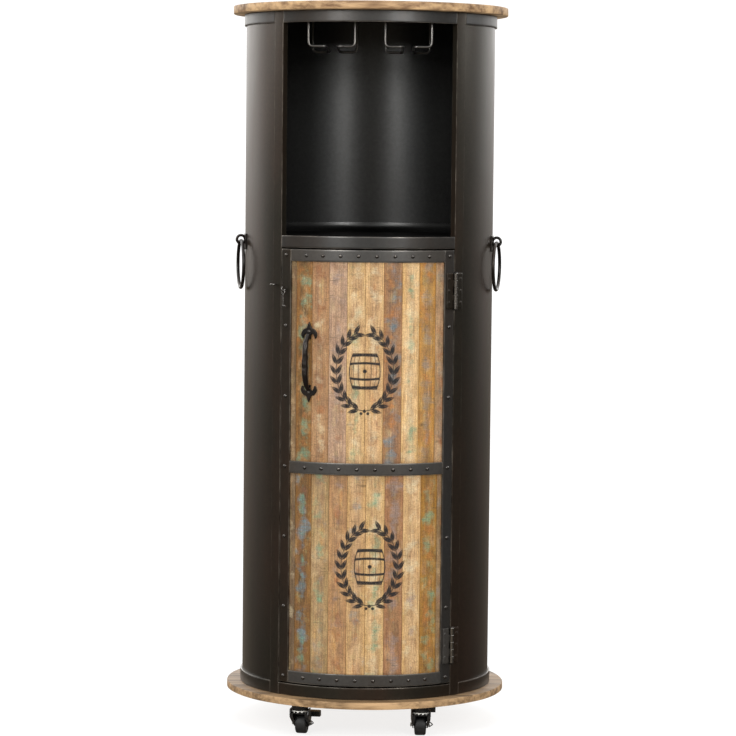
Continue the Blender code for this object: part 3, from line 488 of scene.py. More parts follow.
def mango_wood(name, pale, dark):
    """Oiled mango wood in staves along X, each with a tone of its own."""
    finish, tree, surface = new_finish(name, Coat_Weight=0.05, Coat_Roughness=0.45, Specular_IOR_Level=0.35)
    place = add(tree, "TexCoord").outputs["Object"]
    parts = add(tree, "SeparateXYZ", {0: place})
    lane = add(tree, "Math", {0: parts.outputs["Y"], 1: per(STAVE_MM)}, operation="MULTIPLY")
    number = add(tree, "Math", {0: lane}, operation="FLOOR")
    tone = add(tree, "TexWhiteNoise", {"W": number}, noise_dimensions="1D")
    shift = add(tree, "VectorMath", {0: tone.outputs["Color"], 1: (3, 3, 3)}, operation="MULTIPLY")
    moved = add(tree, "VectorMath", {0: place, 1: shift}, operation="ADD")
    long = add(tree, "Mapping", {"Vector": moved, "Scale": (0.06, 1, 1)})
    grain = add(tree, "TexNoise", {"Vector": long, "Scale": per(GRAIN_MM), "Detail": 7, "Roughness": 0.62})
    figure = add(tree, "Mapping", {"Vector": moved, "Scale": (0.25, 1, 1)})
    bands = add(tree, "TexNoise", {"Vector": figure, "Scale": per(FIGURE_MM), "Detail": 3, "Distortion": 0.6})
    flecks = add(tree, "TexNoise", {"Vector": long, "Scale": per(FLECK_MM), "Detail": 2})
    depth = add(tree, "Math", {0: grain, 1: bands}, operation="ADD")
    mask = add(tree, "MapRange", {0: depth, 1: 0.84, 2: 1.20})
    wood = add(tree, "Mix", {0: mask, 6: colour(pale), 7: colour(dark)}, **BLENDING)
    # Painted shade: a face that looks up is made darker than the sanded edge.
    facing = add(tree, "SeparateXYZ", {0: add(tree, "NewGeometry").outputs["Normal"]})
    face = add(tree, "MapRange", {0: facing.outputs["Z"], 1: 0.3, 2: 0.8, 3: 1.0, 4: TOP_FACE_PAINTED_SHADE})
    lane_shade = add(tree, "MapRange", {0: tone, 3: 0.78, 4: 1.12})
    shade = add(tree, "Math", {0: face, 1: lane_shade}, operation="MULTIPLY")
    staved = add(tree, "Mix", {0: 1.0, 6: wood, 7: shade}, **SHADING)
    pore = add(tree, "MapRange", {0: flecks, 1: 0.60, 2: 0.72, 3: 1.0, 4: 0.72})
    flecked = add(tree, "Mix", {0: 1.0, 6: staved, 7: pore}, **SHADING)
    rough = add(tree, "MapRange", {0: grain, 1: 0.3, 2: 0.7, 3: 0.48, 4: 0.68})
    relief = add(tree, "Bump", {"Height": grain, "Strength": 0.35, "Distance": 0.4 * MM})
    plug(surface, {"Base Color": flecked, "Roughness": rough, "Normal": relief})
    return finish


mango_top = mango_wood("oiled_mango_wood_top", "#c3a074", "#6a4c2e")
mango_base = mango_wood("oiled_mango_wood_base", "#b59268", "#694f30")
print("boards in", mango_top.name, "and", mango_base.name)

# %% [markdown]
# A board is turned: a profile with eased rims goes once round the axis. A disc that is sawn out and sanded
# by hand is never quite true, so two slow waves take up to 1.4 mm off the rim. They only ever take off, so
# the board stays inside its solid.

# %% Round boards
BOARD_STEPS = 240
BOARD_EASE = 1.6 * MM
SANDING = 0.35 * MM
SANDING_WAVES = ((7, 0), (13, 40))


def rim_loss(angle):
    """What sanding took off a rim at an angle, as a negative length."""
    waves = [math.sin(math.radians(count * angle + shift)) for count, shift in SANDING_WAVES]
    return SANDING * (sum(waves) - len(waves))


def turned_board(node, finish):
    """A disc with eased rims, very slightly out of true as a sanded board is."""
    low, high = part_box(node)
    radius = high.x
    profile = [(radius - BOARD_EASE, low.z), (radius - 0.3 * BOARD_EASE, low.z + 0.3 * BOARD_EASE)]
    profile += [(radius, low.z + BOARD_EASE), (radius, (low.z + high.z) / 2), (radius, high.z - BOARD_EASE)]
    profile += [(radius - 0.3 * BOARD_EASE, high.z - 0.3 * BOARD_EASE), (radius - BOARD_EASE, high.z)]
    turns = [360 * i / BOARD_STEPS for i in range(BOARD_STEPS)]
    rings = [[polar(reach + rim_loss(a), a, height) for a in turns] for reach, height in profile]
    return new_piece(node + "_turned", skin(rings), finish, node)


for node, finish in (("top_board", mango_top), ("base_board", mango_base)):
    board = turned_board(node, finish)
    print(board.name, len(board.data.vertices), "points")

# %% [markdown]
# The niche floor is a pressed tray. Its back edge turns up the wall in a soft cove, which is why a bright
# band runs along the foot of the wall: the curve looks up at the lamps. A cove is the one shape here that
# a box section can't give, so its profile is drawn point by point and then swept round the back.

# %% Niche floor with its cove
COVE = 21 * MM
COVE_STEPS = 8
TRAY_SHEET = 2.0 * MM
FRONT_POINTS = 57
BACK_POINTS = 180

tray_radius, tray_angle, tray_height = round_places("niche_floor")
tray_top = tray_height.max()
floor_low = tray_height.min()
floor_high = floor_low + TRAY_SHEET
back_radius = tray_radius[tray_height > floor_high + MM].max()
front_radius = tray_radius.max()
notch_radius = round_places("left_post")[0].min() - 0.3 * MM
behind = tray_angle[np.abs(tray_radius - back_radius) < 0.1 * MM] % 360
notch_out = behind.min()
notch_in = np.abs(tray_angle[np.abs(tray_radius - front_radius) < 0.1 * MM]).max()

outline = [(front_radius, a) for a in np.linspace(-notch_in, notch_in, FRONT_POINTS)]
outline += [(notch_radius, notch_in), (notch_radius, notch_out)]
round_back = np.linspace(notch_out, 360 - notch_out, BACK_POINTS)
outline += [(back_radius, a) for a in round_back]
outline += [(notch_radius, -notch_out), (notch_radius, -notch_in)]
plate = skin([[polar(r, a, z) for r, a in outline] for z in (floor_low, floor_high)])

bend = [(back_radius, floor_high - 0.5 * MM), (back_radius, tray_top), (back_radius - 0.8 * MM, tray_top)]
for step in range(COVE_STEPS + 1):
    turn = math.radians(90 * step / COVE_STEPS)
    bend.append((back_radius - MM - COVE * (1 - math.cos(turn)), tray_top - MM - COVE * math.sin(turn)))
bend.append((back_radius - MM - COVE, floor_high - 0.5 * MM))
cove = skin([[polar(r, a, z) for r, z in bend] for a in round_back])
# The floor plate takes the near-black steel that paints its shade.
new_piece("niche_floor_plate", plate, floor_shade_steel, "niche_floor")
new_piece("niche_floor_cove", cove, inner_steel, "niche_floor")
print(f"tray of {2 * back_radius / MM:.0f} mm with a cove of {COVE / MM:.0f} mm")

# %% [markdown]
# Two more plates close the drum inside: the ceiling and the floor behind the door. Their outlines come
# from the solids: the corners of a flat side, in order round the axis. Where two corners lie equally far
# out, the edge between them is an arc, so points are added along it.

# %% Plates inside the drum
ARC_POINTS = 2.0


def round_outline(node, level):
    """(radius, angle) round the edge of a solid at a height, with its arcs filled in."""
    radius, angle, height = round_places(node)
    flat = np.abs(height - level) < 0.05 * MM
    order = np.argsort(np.round(angle[flat], 3) + radius[flat] * 1e-3)
    corners = list(dict.fromkeys(zip(np.round(radius[flat][order], 6), np.round(angle[flat][order], 4))))
    edge = []
    for (near, start), (far, end) in zip(corners, corners[1:] + [(corners[0][0], corners[0][1] + 360)]):
        edge.append((near, start))
        if abs(near - far) < 0.2 * MM and end - start > ARC_POINTS:
            count = int((end - start) / ARC_POINTS) + 1
            edge += [(near, a) for a in np.linspace(start, end, count + 1)[1:-1]]
    return edge


for node in ("ceiling_plate", "cabinet_floor"):
    low, high = height_span(node)
    edge = round_outline(node, low)
    levels = ((EASE, low), (0, low + EASE), (0, high - EASE), (EASE, high))
    rings = [[polar(r - inset, a, z) for r, a in edge] for inset, z in levels]
    new_piece(node + "_cut", skin(rings), inner_steel, node)
    print(node, "with", len(edge), "points round its edge")

# %% [markdown]
# Round wire is used for the glass rails, the hook, the eyes and the rings. A tube along a path does for
# all of them. At each point the circle is turned just enough to follow the path, which keeps it from
# twisting where the wire bends.

# %% Wire
WIRE_SIDES = 14


def tube(path, radius, sides=WIRE_SIDES, closed=False):
    """Points and faces of a round wire along a path; radius may be one number or one for each point."""
    path = [Vector(point) for point in path]
    count = len(path)
    radii = radius if isinstance(radius, (list, tuple)) else [radius] * count
    across = None
    rings = []
    for i, point in enumerate(path):
        before = path[i - 1] if closed or i else point
        after = path[(i + 1) % count] if closed or i < count - 1 else point
        along = (after - before).normalized()
        if across is None:
            across = along.orthogonal().normalized()
        across = (across - along * across.dot(along)).normalized()
        other = along.cross(across)
        turns = [2 * math.pi * j / sides for j in range(sides)]
        rings.append([point + (across * math.cos(t) + other * math.sin(t)) * radii[i] for t in turns])
    return skin(rings, closed)


def bent(corners, radius, steps=8):
    """A path with its inner corners rounded, as wire is bent round a former."""
    corners = [Vector(corner) for corner in corners]
    path = [corners[0]]
    for before, corner, after in zip(corners, corners[1:], corners[2:]):
        start = corner + (before - corner).normalized() * radius
        end = corner + (after - corner).normalized() * radius
        for step in range(steps + 1):
            t = step / steps
            path.append((1 - t) ** 2 * start + 2 * t * (1 - t) * corner + t * t * end)
    path.append(corners[-1])
    return path


def ring_path(centre, first, second, radius, steps):
    """Points round a circle that lies in the plane of two directions."""
    turns = [2 * math.pi * i / steps for i in range(steps)]
    return [centre + (first * math.cos(t) + second * math.sin(t)) * radius for t in turns]


print("wires have", WIRE_SIDES, "sides")

# %% [markdown]
# Stemmed glasses hang by their feet from two rails under the ceiling. Each rail is two wires that drop from
# the ceiling and turn towards each other, with a slot for the stems between them. Their places are read
# from the boxes of the solids, so only the wire and the bend are given here.

# %% Glass rails
RAIL_WIRE = 2.8 * MM
RAIL_BEND = 10 * MM

for side, name in ((-1, "left"), (1, "right")):
    for own in ("inner", "outer"):
        node = f"{name}_glass_rail_{own}"
        low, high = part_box(node)
        wide = high.x if side < 0 else low.x
        if own == "outer":
            wide = max(low.x, high.x, key=abs)
        narrow = high.x + low.x - wide
        wide -= math.copysign(RAIL_WIRE, wide - narrow)
        narrow += math.copysign(RAIL_WIRE, wide - narrow)
        front = low.y + RAIL_WIRE
        back = high.y - RAIL_WIRE
        level = low.z + RAIL_WIRE
        corners = [(wide, front, high.z), (wide, front, level), (narrow, front, level)]
        corners += [(narrow, back, level), (wide, back, level), (wide, back, high.z)]
        new_piece(node + "_wire", tube(bent(corners, RAIL_BEND), RAIL_WIRE), rail_steel, node)
print("bent four glass rails")

# %% [markdown]
# The pull is forged iron: a bar drawn out at its ends, bowed, and set on two plates cut to a spear point
# between curled lobes. The plates are flat curves with a bevel, because a curve keeps the spear and the
# curls smooth with few points. A dome on each is the head of its screw.

# %% Plates of the forged pull
PULL_ANGLE = -26.7
PLATE = 3.0 * MM
PLATE_BEVEL = 0.9 * MM
PLATE_LIFT = 0.3 * MM
SPEAR = 20.5 * MM
LOBE = 18.5 * MM
CURL = 14.5 * MM
PLATE_FOOT = 16 * MM
PULL_SCREW = 3.4 * MM
PULL_SCREW_RISE = 2.0 * MM

pull_low, pull_high = height_span("pull_handle")
pull_middle = (pull_low + pull_high) / 2
pull_half = (pull_high - pull_low) / 2
pull_reach = pull_half - SPEAR
plank_face = round_places("upper_plank_panel")[0].max()
seat = -(plank_face + PLATE_LIFT + PLATE / 2)


def fleur():
    """Outline of an end plate, with the spear up, as points and which of them are sharp."""
    half = [(0.20, 0.62), (0.34, 0.36), (0.60, 0.27), (0.86, 0.06), (1.0, -0.36), (0.93, -0.80)]
    half += [(0.77, -1.0), (0.67, -0.74), (0.56, -0.46), (0.40, -0.32), (0.27, -0.48)]
    half = [(x * LOBE, y * SPEAR if y > 0 else y * CURL, 0) for x, y in half]
    half.append((0.24 * LOBE, -PLATE_FOOT, 1))
    return [(0, SPEAR, 1), *half, *[(-x, y, sharp) for x, y, sharp in half[::-1]]]


def flat_plate(outline, thick, bevel):
    """A mesh of a flat plate with rounded edges, cut to an outline in x and z, facing -Y."""
    curve = bpy.data.curves.new("plate_outline", "CURVE")
    curve.dimensions = "2D"
    curve.fill_mode = "BOTH"
    curve.extrude = thick / 2 - bevel
    curve.bevel_depth = bevel
    curve.bevel_resolution = 2
    curve.offset = -bevel
    curve.resolution_u = 6
    spline = curve.splines.new("BEZIER")
    spline.bezier_points.add(len(outline) - 1)
    for knot, (x, z, sharp) in zip(spline.bezier_points, outline):
        knot.co = (x, z, 0)
        knot.handle_left_type = knot.handle_right_type = "VECTOR" if sharp else "AUTO"
    spline.use_cyclic_u = True
    holder = bpy.data.objects.new("plate_outline", curve)
    mesh = holder.to_mesh()
    upright = Matrix.Rotation(math.pi / 2, 4, "X")
    points = [upright @ vertex.co for vertex in mesh.vertices]
    faces = [tuple(face.vertices) for face in mesh.polygons]
    holder.to_mesh_clear()
    bpy.data.objects.remove(holder)
    bpy.data.curves.remove(curve)
    return points, faces


pull_shapes = []
for sign in (1, -1):
    points, faces = flat_plate(fleur(), PLATE, PLATE_BEVEL)
    place = Vector((0, seat, pull_middle + sign * pull_reach))
    points = [place + Vector((p.x * sign, p.y, p.z * sign)) for p in points]
    pull_shapes.append(plain((points, faces), 0.6))
    screw = dome(0, place.z, PULL_SCREW, PULL_SCREW_RISE, PLATE / 2 - seat, 16, 4, 0.1 * MM)
    pull_shapes.append(plain(screw, 1.0))
print(f"two plates with screws {2 * pull_reach / MM:.0f} mm apart")

# %% [markdown]
# A smith's hammer leaves flat spots all along the grip. So the grip is a tube along a bow, thickest in the
# middle, whose skin is pushed in and out by a seeded grid of blows, blended smoothly from each to the next.

# %% Grip of the forged pull
GRIP_STEPS = 72
GRIP_SIDES = 20
GRIP_END = 4.6
GRIP_SWELL = 2.4
GRIP_BOW = 13.1 * MM
BLOWS_ALONG = 15
BLOWS_ROUND = 6
BLOW_DEPTH = 0.17
hammer = np.random.default_rng(11)

path = []
swell = []
for i in range(GRIP_STEPS + 1):
    t = 2 * i / GRIP_STEPS - 1
    bow = seat - GRIP_END * MM - GRIP_BOW * (1 - t**4)
    path.append((0, bow, pull_middle + t * (pull_reach - CURL / 2)))
    swell.append((GRIP_END + GRIP_SWELL * (1 - t * t)) * MM)
points, faces = tube(path, swell, GRIP_SIDES)
blows = hammer.uniform(-1.0, 0.45, (BLOWS_ALONG + 2, BLOWS_ROUND))
beaten = []
for i, point in enumerate(points):
    middle = Vector(path[i // GRIP_SIDES])
    along = i // GRIP_SIDES / GRIP_STEPS * BLOWS_ALONG
    round_it = i % GRIP_SIDES / GRIP_SIDES * BLOWS_ROUND
    row, spot = int(along), int(round_it)
    s, t = along - row, round_it - spot
    s, t = s * s * (3 - 2 * s), t * t * (3 - 2 * t)
    near = blows[row, spot] * (1 - t) + blows[row, (spot + 1) % BLOWS_ROUND] * t
    far = blows[row + 1, spot] * (1 - t) + blows[row + 1, (spot + 1) % BLOWS_ROUND] * t
    beaten.append(middle + (point - middle) * (1 + BLOW_DEPTH * float(near * (1 - s) + far * s)))
pull_shapes.append(plain((beaten, faces), 0.55))
turn = Matrix.Rotation(math.radians(PULL_ANGLE), 4, "Z")
new_piece("pull_handle_forged", put(joined(*pull_shapes), turn), hammered_iron, "pull_handle")
print(f"pull of {2 * pull_half / MM:.0f} mm")

# %% [markdown]
# A ring hangs on each side in an eye. Both are bent from round bar. Their circles are read from the boxes
# of the solids: a ring hangs flat along the drum, and its eye stands on edge on a small curved plate. The
# ring's bar is a little thicker than in the solid, round the same middle line, to give it its real weight.

# %% Side rings and their eyes
RING_SOLID_WIRE = 3.2 * MM
RING_WIRE = 3.6 * MM
EYE_WIRE = 3.0 * MM
EYE_RADIUS = 8.7 * MM
EYE_REACH = 10.9 * MM
PLATE_THICK = 3.0 * MM

for name in ("left", "right"):
    radius, angle, height = round_places(f"{name}_ring")
    out = Vector(polar(1, (angle.min() + angle.max()) / 2, 0))
    along = Vector((-out.y, out.x, 0))
    ring_points = solid_points(f"{name}_ring")
    centre = Vector((ring_points.min(0) + ring_points.max(0)) / 2)
    size = (height.max() - height.min()) / 2 - RING_SOLID_WIRE
    hoop = tube(ring_path(centre, along, up, size, 96), RING_WIRE, 16, True)
    new_piece(f"{name}_ring_bent", plain(hoop, 0.55), hammered_iron, f"{name}_ring")

    radius, angle, height = round_places(f"{name}_ring_eye")
    seat_radius = radius.min()
    on_plate = radius < seat_radius + 4 * MM
    spans = [bound for part in (angle[on_plate], height[on_plate]) for bound in (part.min(), part.max())]
    base = rolled(seat_radius, seat_radius + PLATE_THICK, *spans)
    far = radius > radius.max() - 3 * MM
    loop_height = (height[far].min() + height[far].max()) / 2
    centre = out * (seat_radius + EYE_REACH) + up * loop_height
    loop = tube(ring_path(centre, out, up, EYE_RADIUS, 48), EYE_WIRE, 12, True)
    new_piece(f"{name}_ring_eye_bent", joined(base, plain(loop, 0.4)), hammered_iron, f"{name}_ring_eye")
    print(name, f"ring of {2 * size / MM:.0f} mm in an eye of {2 * EYE_RADIUS / MM:.1f} mm")

# %% [markdown]
# The door panels are planks sawn from old painted timber. No two are alike: honey, ochre, mauve or cream
# wood, crossed by the marks of a frame saw, with what is left of blue, green and orange paint in the
# hollow middle of the plank, where no plane or hand reached. One function makes them all from a bare
# tone, a darker tone, a tone for both flanks and a list of paints. First a table of noises: long ones for
# grain and for runs of old stain, flat ones for saw marks, round ones for clouds and grit. Wood fibres are
# far finer than a millimetre and are drawn 1.5 mm wide, so that they show. A second table lays tints over
# the bare tone by these noises. Then each paint shows where a soft patch, the saw marks and the hollow
# meet. A last table lays dirt on worn edges, painted shade along the frame and ink where the print is, each
# by a number kept at the points and broken by a noise. A seed moves the patterns for each plank.

# %% Finish: reclaimed planks
FADED = "#b39a74"
HONEY = "#a9772f"
UMBER = "#6f4d39"
OLIVE = "#95885a"
SAW_SCAR = "#43341f"
GRIME = "#2f2116"
FRAME_PAINTED_SHADE = "#4a2f1a"
STENCIL_INK = "#1a1615"
PAINT_MM = 30
NOISES = (
    ("grain", 6.0, (1, 1, 0.05), 6),
    ("run", 15.0, (1, 1, 0.11), 5),
    ("saw", 3.2, (0.10, 0.10, 1), 4),
    ("cloud", 40.0, (1, 1, 0.8), 6),
    ("blot", 17.0, (1, 1, 0.55), 5),
    ("grit", 2.6, (1, 1, 1), 4),
    ("fibre", 1.5, (1, 1, 0.03), 4),
    ("patch", 26.0, (0.7, 0.7, 1), 3),
)
OVERLAYS = (
    ("wear", "run", 0.35, 0.65, 0.05, 0.5, GRIME),
    # Painted shade: this row darkens each plank along the frame of the door.
    ("frame_shade", "cloud", 0.35, 0.62, 0.25, 1.0, FRAME_PAINTED_SHADE),
    ("ink", "grit", 0.32, 0.48, 0.7, 1.0, STENCIL_INK),
)


def old_plank(name, bare, dark, flank, paints, seed):
    """A sawn plank of old timber with the remains of its paints, and its share of the print."""
    finish, tree, surface = new_finish(name, Specular_IOR_Level=0.3)
    place = add(tree, "TexCoord").outputs["Object"]
    own = add(tree, "VectorMath", {0: place, 1: (1.7 * seed, 0.9 * seed, 2.3 * seed)}, operation="ADD")
    noise = {}
    for field, size, stretch, detail in NOISES:
        drawn = add(tree, "Mapping", {"Vector": own, "Scale": stretch})
        settings = {"Vector": drawn, "Scale": per(size), "Detail": detail, "Roughness": 0.65}
        noise[field] = add(tree, "TexNoise", settings)
    tone = colour(bare)
    for field, low, high, most, tint in (
        ("grain", 0.42, 0.74, 0.62, dark),
        ("run", 0.49, 0.64, 0.75, dark),
        ("run", 0.44, 0.32, 0.30, HONEY),
        ("cloud", 0.48, 0.63, 0.70, dark),
        ("cloud", 0.45, 0.30, 0.55, FADED),
        ("blot", 0.52, 0.68, 0.50, UMBER),
        ("blot", 0.45, 0.32, 0.35, OLIVE),
    ):
        amount = add(tree, "MapRange", {0: noise[field], 1: low, 2: high, 4: most})
        tone = add(tree, "Mix", {0: amount, 6: tone, 7: colour(tint)}, **BLENDING)
    cup = add(tree, "Attribute", attribute_name="cup").outputs["Fac"]
    beside = add(tree, "MapRange", {0: cup, 1: 0.0, 2: 0.7, 3: 1.0, 4: 0.0})
    streak = add(tree, "MapRange", {0: noise["run"], 1: 0.36, 2: 0.58, 3: 0.1, 4: 0.65})
    gilt = add(tree, "Math", {0: beside, 1: streak}, operation="MULTIPLY")
    tone = add(tree, "Mix", {0: gilt, 6: tone, 7: colour(flank)}, **BLENDING)
    hollow = add(tree, "MapRange", {0: noise["saw"], 1: 0.38, 2: 0.56, 3: 0.45})
    hold = add(tree, "MapRange", {0: cup, 3: -0.10, 4: 0.06})
    for number, (paint, cover) in enumerate(paints):
        drift = (3.1 * number + 5, 7.7, 1.9 * number)
        moved = add(tree, "VectorMath", {0: own, 1: drift}, operation="ADD")
        settings = {"Vector": moved, "Scale": per(PAINT_MM), "Detail": 3, "Roughness": 0.55}
        spread = add(tree, "TexNoise", settings)
        kept = add(tree, "Math", {0: spread, 1: hold}, operation="ADD")
        edge = 0.785 - 0.5 * cover
        patch = add(tree, "MapRange", {0: kept, 1: edge - 0.06, 2: edge + 0.11, 4: 0.72})
        left = add(tree, "Math", {0: patch, 1: hollow}, operation="MULTIPLY")
        tone = add(tree, "Mix", {0: left, 6: tone, 7: colour(paint)}, **BLENDING)
    scar = add(tree, "MapRange", {0: noise["saw"], 1: 0.57, 2: 0.67})
    where = add(tree, "MapRange", {0: noise["patch"], 1: 0.44, 2: 0.60, 3: 0.12, 4: 0.52})
    scarred = add(tree, "Math", {0: scar, 1: where}, operation="MULTIPLY")
    tone = add(tree, "Mix", {0: scarred, 6: tone, 7: colour(SAW_SCAR)}, **BLENDING)
    for field, least, most in (("grit", 0.68, 1.30), ("fibre", 0.66, 1.32)):
        shade = add(tree, "MapRange", {0: noise[field], 1: 0.30, 2: 0.70, 3: least, 4: most})
        tone = add(tree, "Mix", {0: 1.0, 6: tone, 7: shade}, **SHADING)
    for mask, field, low, high, least, most, tint in OVERLAYS:
        spread = add(tree, "Attribute", attribute_name=mask).outputs["Fac"]
        broken = add(tree, "MapRange", {0: noise[field], 1: low, 2: high, 3: least, 4: most})
        amount = add(tree, "Math", {0: spread, 1: broken}, operation="MULTIPLY")
        tone = add(tree, "Mix", {0: amount, 6: tone, 7: colour(tint)}, **BLENDING)
    rough = add(tree, "MapRange", {0: noise["grain"], 1: 0.3, 2: 0.7, 3: 0.58, 4: 0.78})
    marks = add(tree, "Bump", {"Height": noise["saw"], "Strength": 0.5, "Distance": 0.6 * MM})
    fine = {"Height": noise["fibre"], "Strength": 0.5, "Distance": 0.4 * MM, "Normal": marks}
    relief = add(tree, "Bump", fine)
    plug(surface, {"Base Color": tone, "Roughness": rough, "Normal": relief})
    return finish


print(len(NOISES), "noises in each plank")

# %% [markdown]
# One row for each plank, from the latch to the hinges: bare wood, its darker streaks, the flanks, and each
# paint with the share it covers. Dark planks stand near the latch and the palest near the middle. Where a
# panel has one plank more than there are rows, the last row serves twice.

# %% Tones of the planks
blue, teal, green, orange = "#587078", "#5d8068", "#5e8266", "#9c622c"
violet, grey, rust, chalk = "#7d6d66", "#786f63", "#84502a", "#b5a686"
upper_tones = [
    ("#80684a", "#5c4832", "#684d2c", [(chalk, 0.40)]),
    ("#6c5029", "#48331b", "#8f5c20", [(teal, 0.50), (orange, 0.42)]),
    ("#94724f", "#6f503a", "#997046", [(rust, 0.34), (chalk, 0.30)]),
    ("#a08266", "#765d49", "#9a7d68", [(violet, 0.38), (rust, 0.28)]),
    ("#b2936a", "#866847", "#b08d58", [(green, 0.36), (chalk, 0.40)]),
    ("#b3926a", "#876845", "#b08a55", [(rust, 0.32), (chalk, 0.40)]),
    ("#86674b", "#5e4634", "#96683c", [(orange, 0.46), (blue, 0.50)]),
    ("#bf9f74", "#947650", "#b98f50", [(chalk, 0.48), (green, 0.34)]),
    ("#9a7540", "#70512b", "#b1781f", [(orange, 0.44), (grey, 0.50)]),
    ("#9d7d5d", "#725840", "#8e7048", [(grey, 0.42), (rust, 0.36)]),
]
lower_tones = [
    ("#6c5840", "#4e3d2c", "#5c472c", [(chalk, 0.42)]),
    ("#6f4f28", "#4a341c", "#80551b", [(blue, 0.48), (teal, 0.36)]),
    ("#927854", "#6e5639", "#927544", [(green, 0.38), (grey, 0.40)]),
    ("#98754f", "#72543a", "#9e7446", [(violet, 0.34), (rust, 0.36)]),
    ("#aa8963", "#806341", "#ae8852", [(blue, 0.32), (rust, 0.32)]),
    ("#b4946a", "#8b6d46", "#b28e56", [(chalk, 0.44), (green, 0.40)]),
    ("#8b6643", "#634730", "#8f603c", [(orange, 0.36), (violet, 0.52)]),
    ("#b4946b", "#8b6d4a", "#b58d52", [(chalk, 0.46), (violet, 0.28)]),
    ("#856029", "#5b401d", "#956617", [(orange, 0.42), (green, 0.44)]),
    ("#82684a", "#5d4a33", "#80633a", [(grey, 0.44), (rust, 0.36)]),
]
print(len(upper_tones), "tones above and", len(lower_tones), "below")

# %% [markdown]
# Each panel carries a worn black stencil. Here it is a plain wreath round a cask, a motif that belongs to
# nobody. Its shape is a distance rule: each leaf, hoop and stave says how far inside it a point lies, and
# the largest answer wins. The answer is kept as a number called ink at each point of a one-millimetre
# grid, so the print is part of the piece and follows the curve of the door.

# %% Stencil of a wreath and a cask
WREATH_WIDE = 60.0
WREATH_TALL = 82.0
LEAF_LONG = 25.0
LEAF_WIDE = 9.0
LEAVES = 11
FIRST_LEAF = -78
LEAF_TURN = 14.6
LEAF_TILT = 0.55
STEM_END = 76
STEM_RADIUS = 68
CASK_HALF = 38.0
NO_INK = -9.0


def leaf_ink(s, z, foot, lean):
    """How far inside a pointed leaf each point lies, in millimetres."""
    along = (s - foot[0]) * math.cos(lean) + (z - foot[1]) * math.sin(lean)
    across = -(s - foot[0]) * math.sin(lean) + (z - foot[1]) * math.cos(lean)
    share = np.clip(along / LEAF_LONG, 0, 1)
    half = LEAF_WIDE / 2 * np.sin(math.pi * share**0.8)
    inside = half - np.abs(across)
    vein = np.abs(across) - 0.3
    lines = np.minimum(inside, np.maximum(vein, inside - 3.2))
    return np.where((along > 0) & (along < LEAF_LONG), lines, NO_INK)


def cask_ink(s, z):
    """How far inside the lines of an upright cask each point lies, in millimetres."""
    bulge = 25 + 8 * (1 - (z / CASK_HALF) ** 2)
    body = np.minimum(bulge - np.abs(s), CASK_HALF - np.abs(z))
    rim = 1.1 - np.abs(body - 1.1)
    staves = [0.55 - np.abs(s - share * bulge) for share in (-0.72, -0.4, 0.0, 0.4, 0.72)]
    bow = 2.5 * (s / 33) ** 2
    hoops = []
    for height, wide in ((34, 6), (17, 5)):
        hoops += [wide / 2 - np.abs(z - sign * (height - bow)) for sign in (-1, 1)]
    lines = np.max([rim, *staves, *hoops], axis=0)
    bung = 4.2 - np.hypot(s, z)
    return np.where(body > 0, np.maximum(lines, bung), NO_INK)


def stencil(s, z):
    """Ink from 0 to 1 at each point, in millimetres from the middle of the print."""
    best = cask_ink(s, z)
    for side in (-1, 1):
        for number in range(LEAVES):
            turn = math.radians(FIRST_LEAF + LEAF_TURN * number)
            foot = (side * WREATH_WIDE * math.cos(turn), WREATH_TALL * math.sin(turn))
            run = math.atan2(WREATH_TALL * math.cos(turn), -side * WREATH_WIDE * math.sin(turn))
            for tilt in (-LEAF_TILT, LEAF_TILT):
                best = np.maximum(best, leaf_ink(s, z, foot, run + tilt))
    reach = np.hypot(s / WREATH_WIDE, z / WREATH_TALL)
    turn = np.degrees(np.arctan2(z / WREATH_TALL, np.abs(s) / WREATH_WIDE))
    stem = np.where(turn < STEM_END, 0.8, NO_INK)
    best = np.maximum(best, stem - np.abs(reach - 1) * STEM_RADIUS)
    berry = np.max([3.2 - np.hypot(np.abs(s) - 7, z + 88), 3.6 - np.hypot(s, z + 83)], axis=0)
    return np.clip(np.maximum(best, berry) + 0.5, 0, 1)


print("ink in the middle of the bung:", float(stencil(np.zeros(1), np.zeros(1))[0]))

# %% [markdown]
# Every plank is a curved stave of its own: thin gaps between neighbours, broken long edges, and faces
# that lie a little deeper or prouder than the next, never past the frame. A plank under the print gets a
# one-millimetre grid, the others a coarse one. The joints are read from the grooves of the solid.

# %% Planks
JOINT_GAP = 0.15
CHAMFER = 0.5
PRINT_HALF = 72.0
PRINT_REACH = 100.0
FINE_GRID = 1.0
COARSE_GRID = 4.0
END_ROWS = (0, 2, 5, 9)
ROW_STEP = 12 * MM
FRAME_SHADE_REACH = 11.0
LOWER_SEED = 17
tally = np.random.default_rng(5)


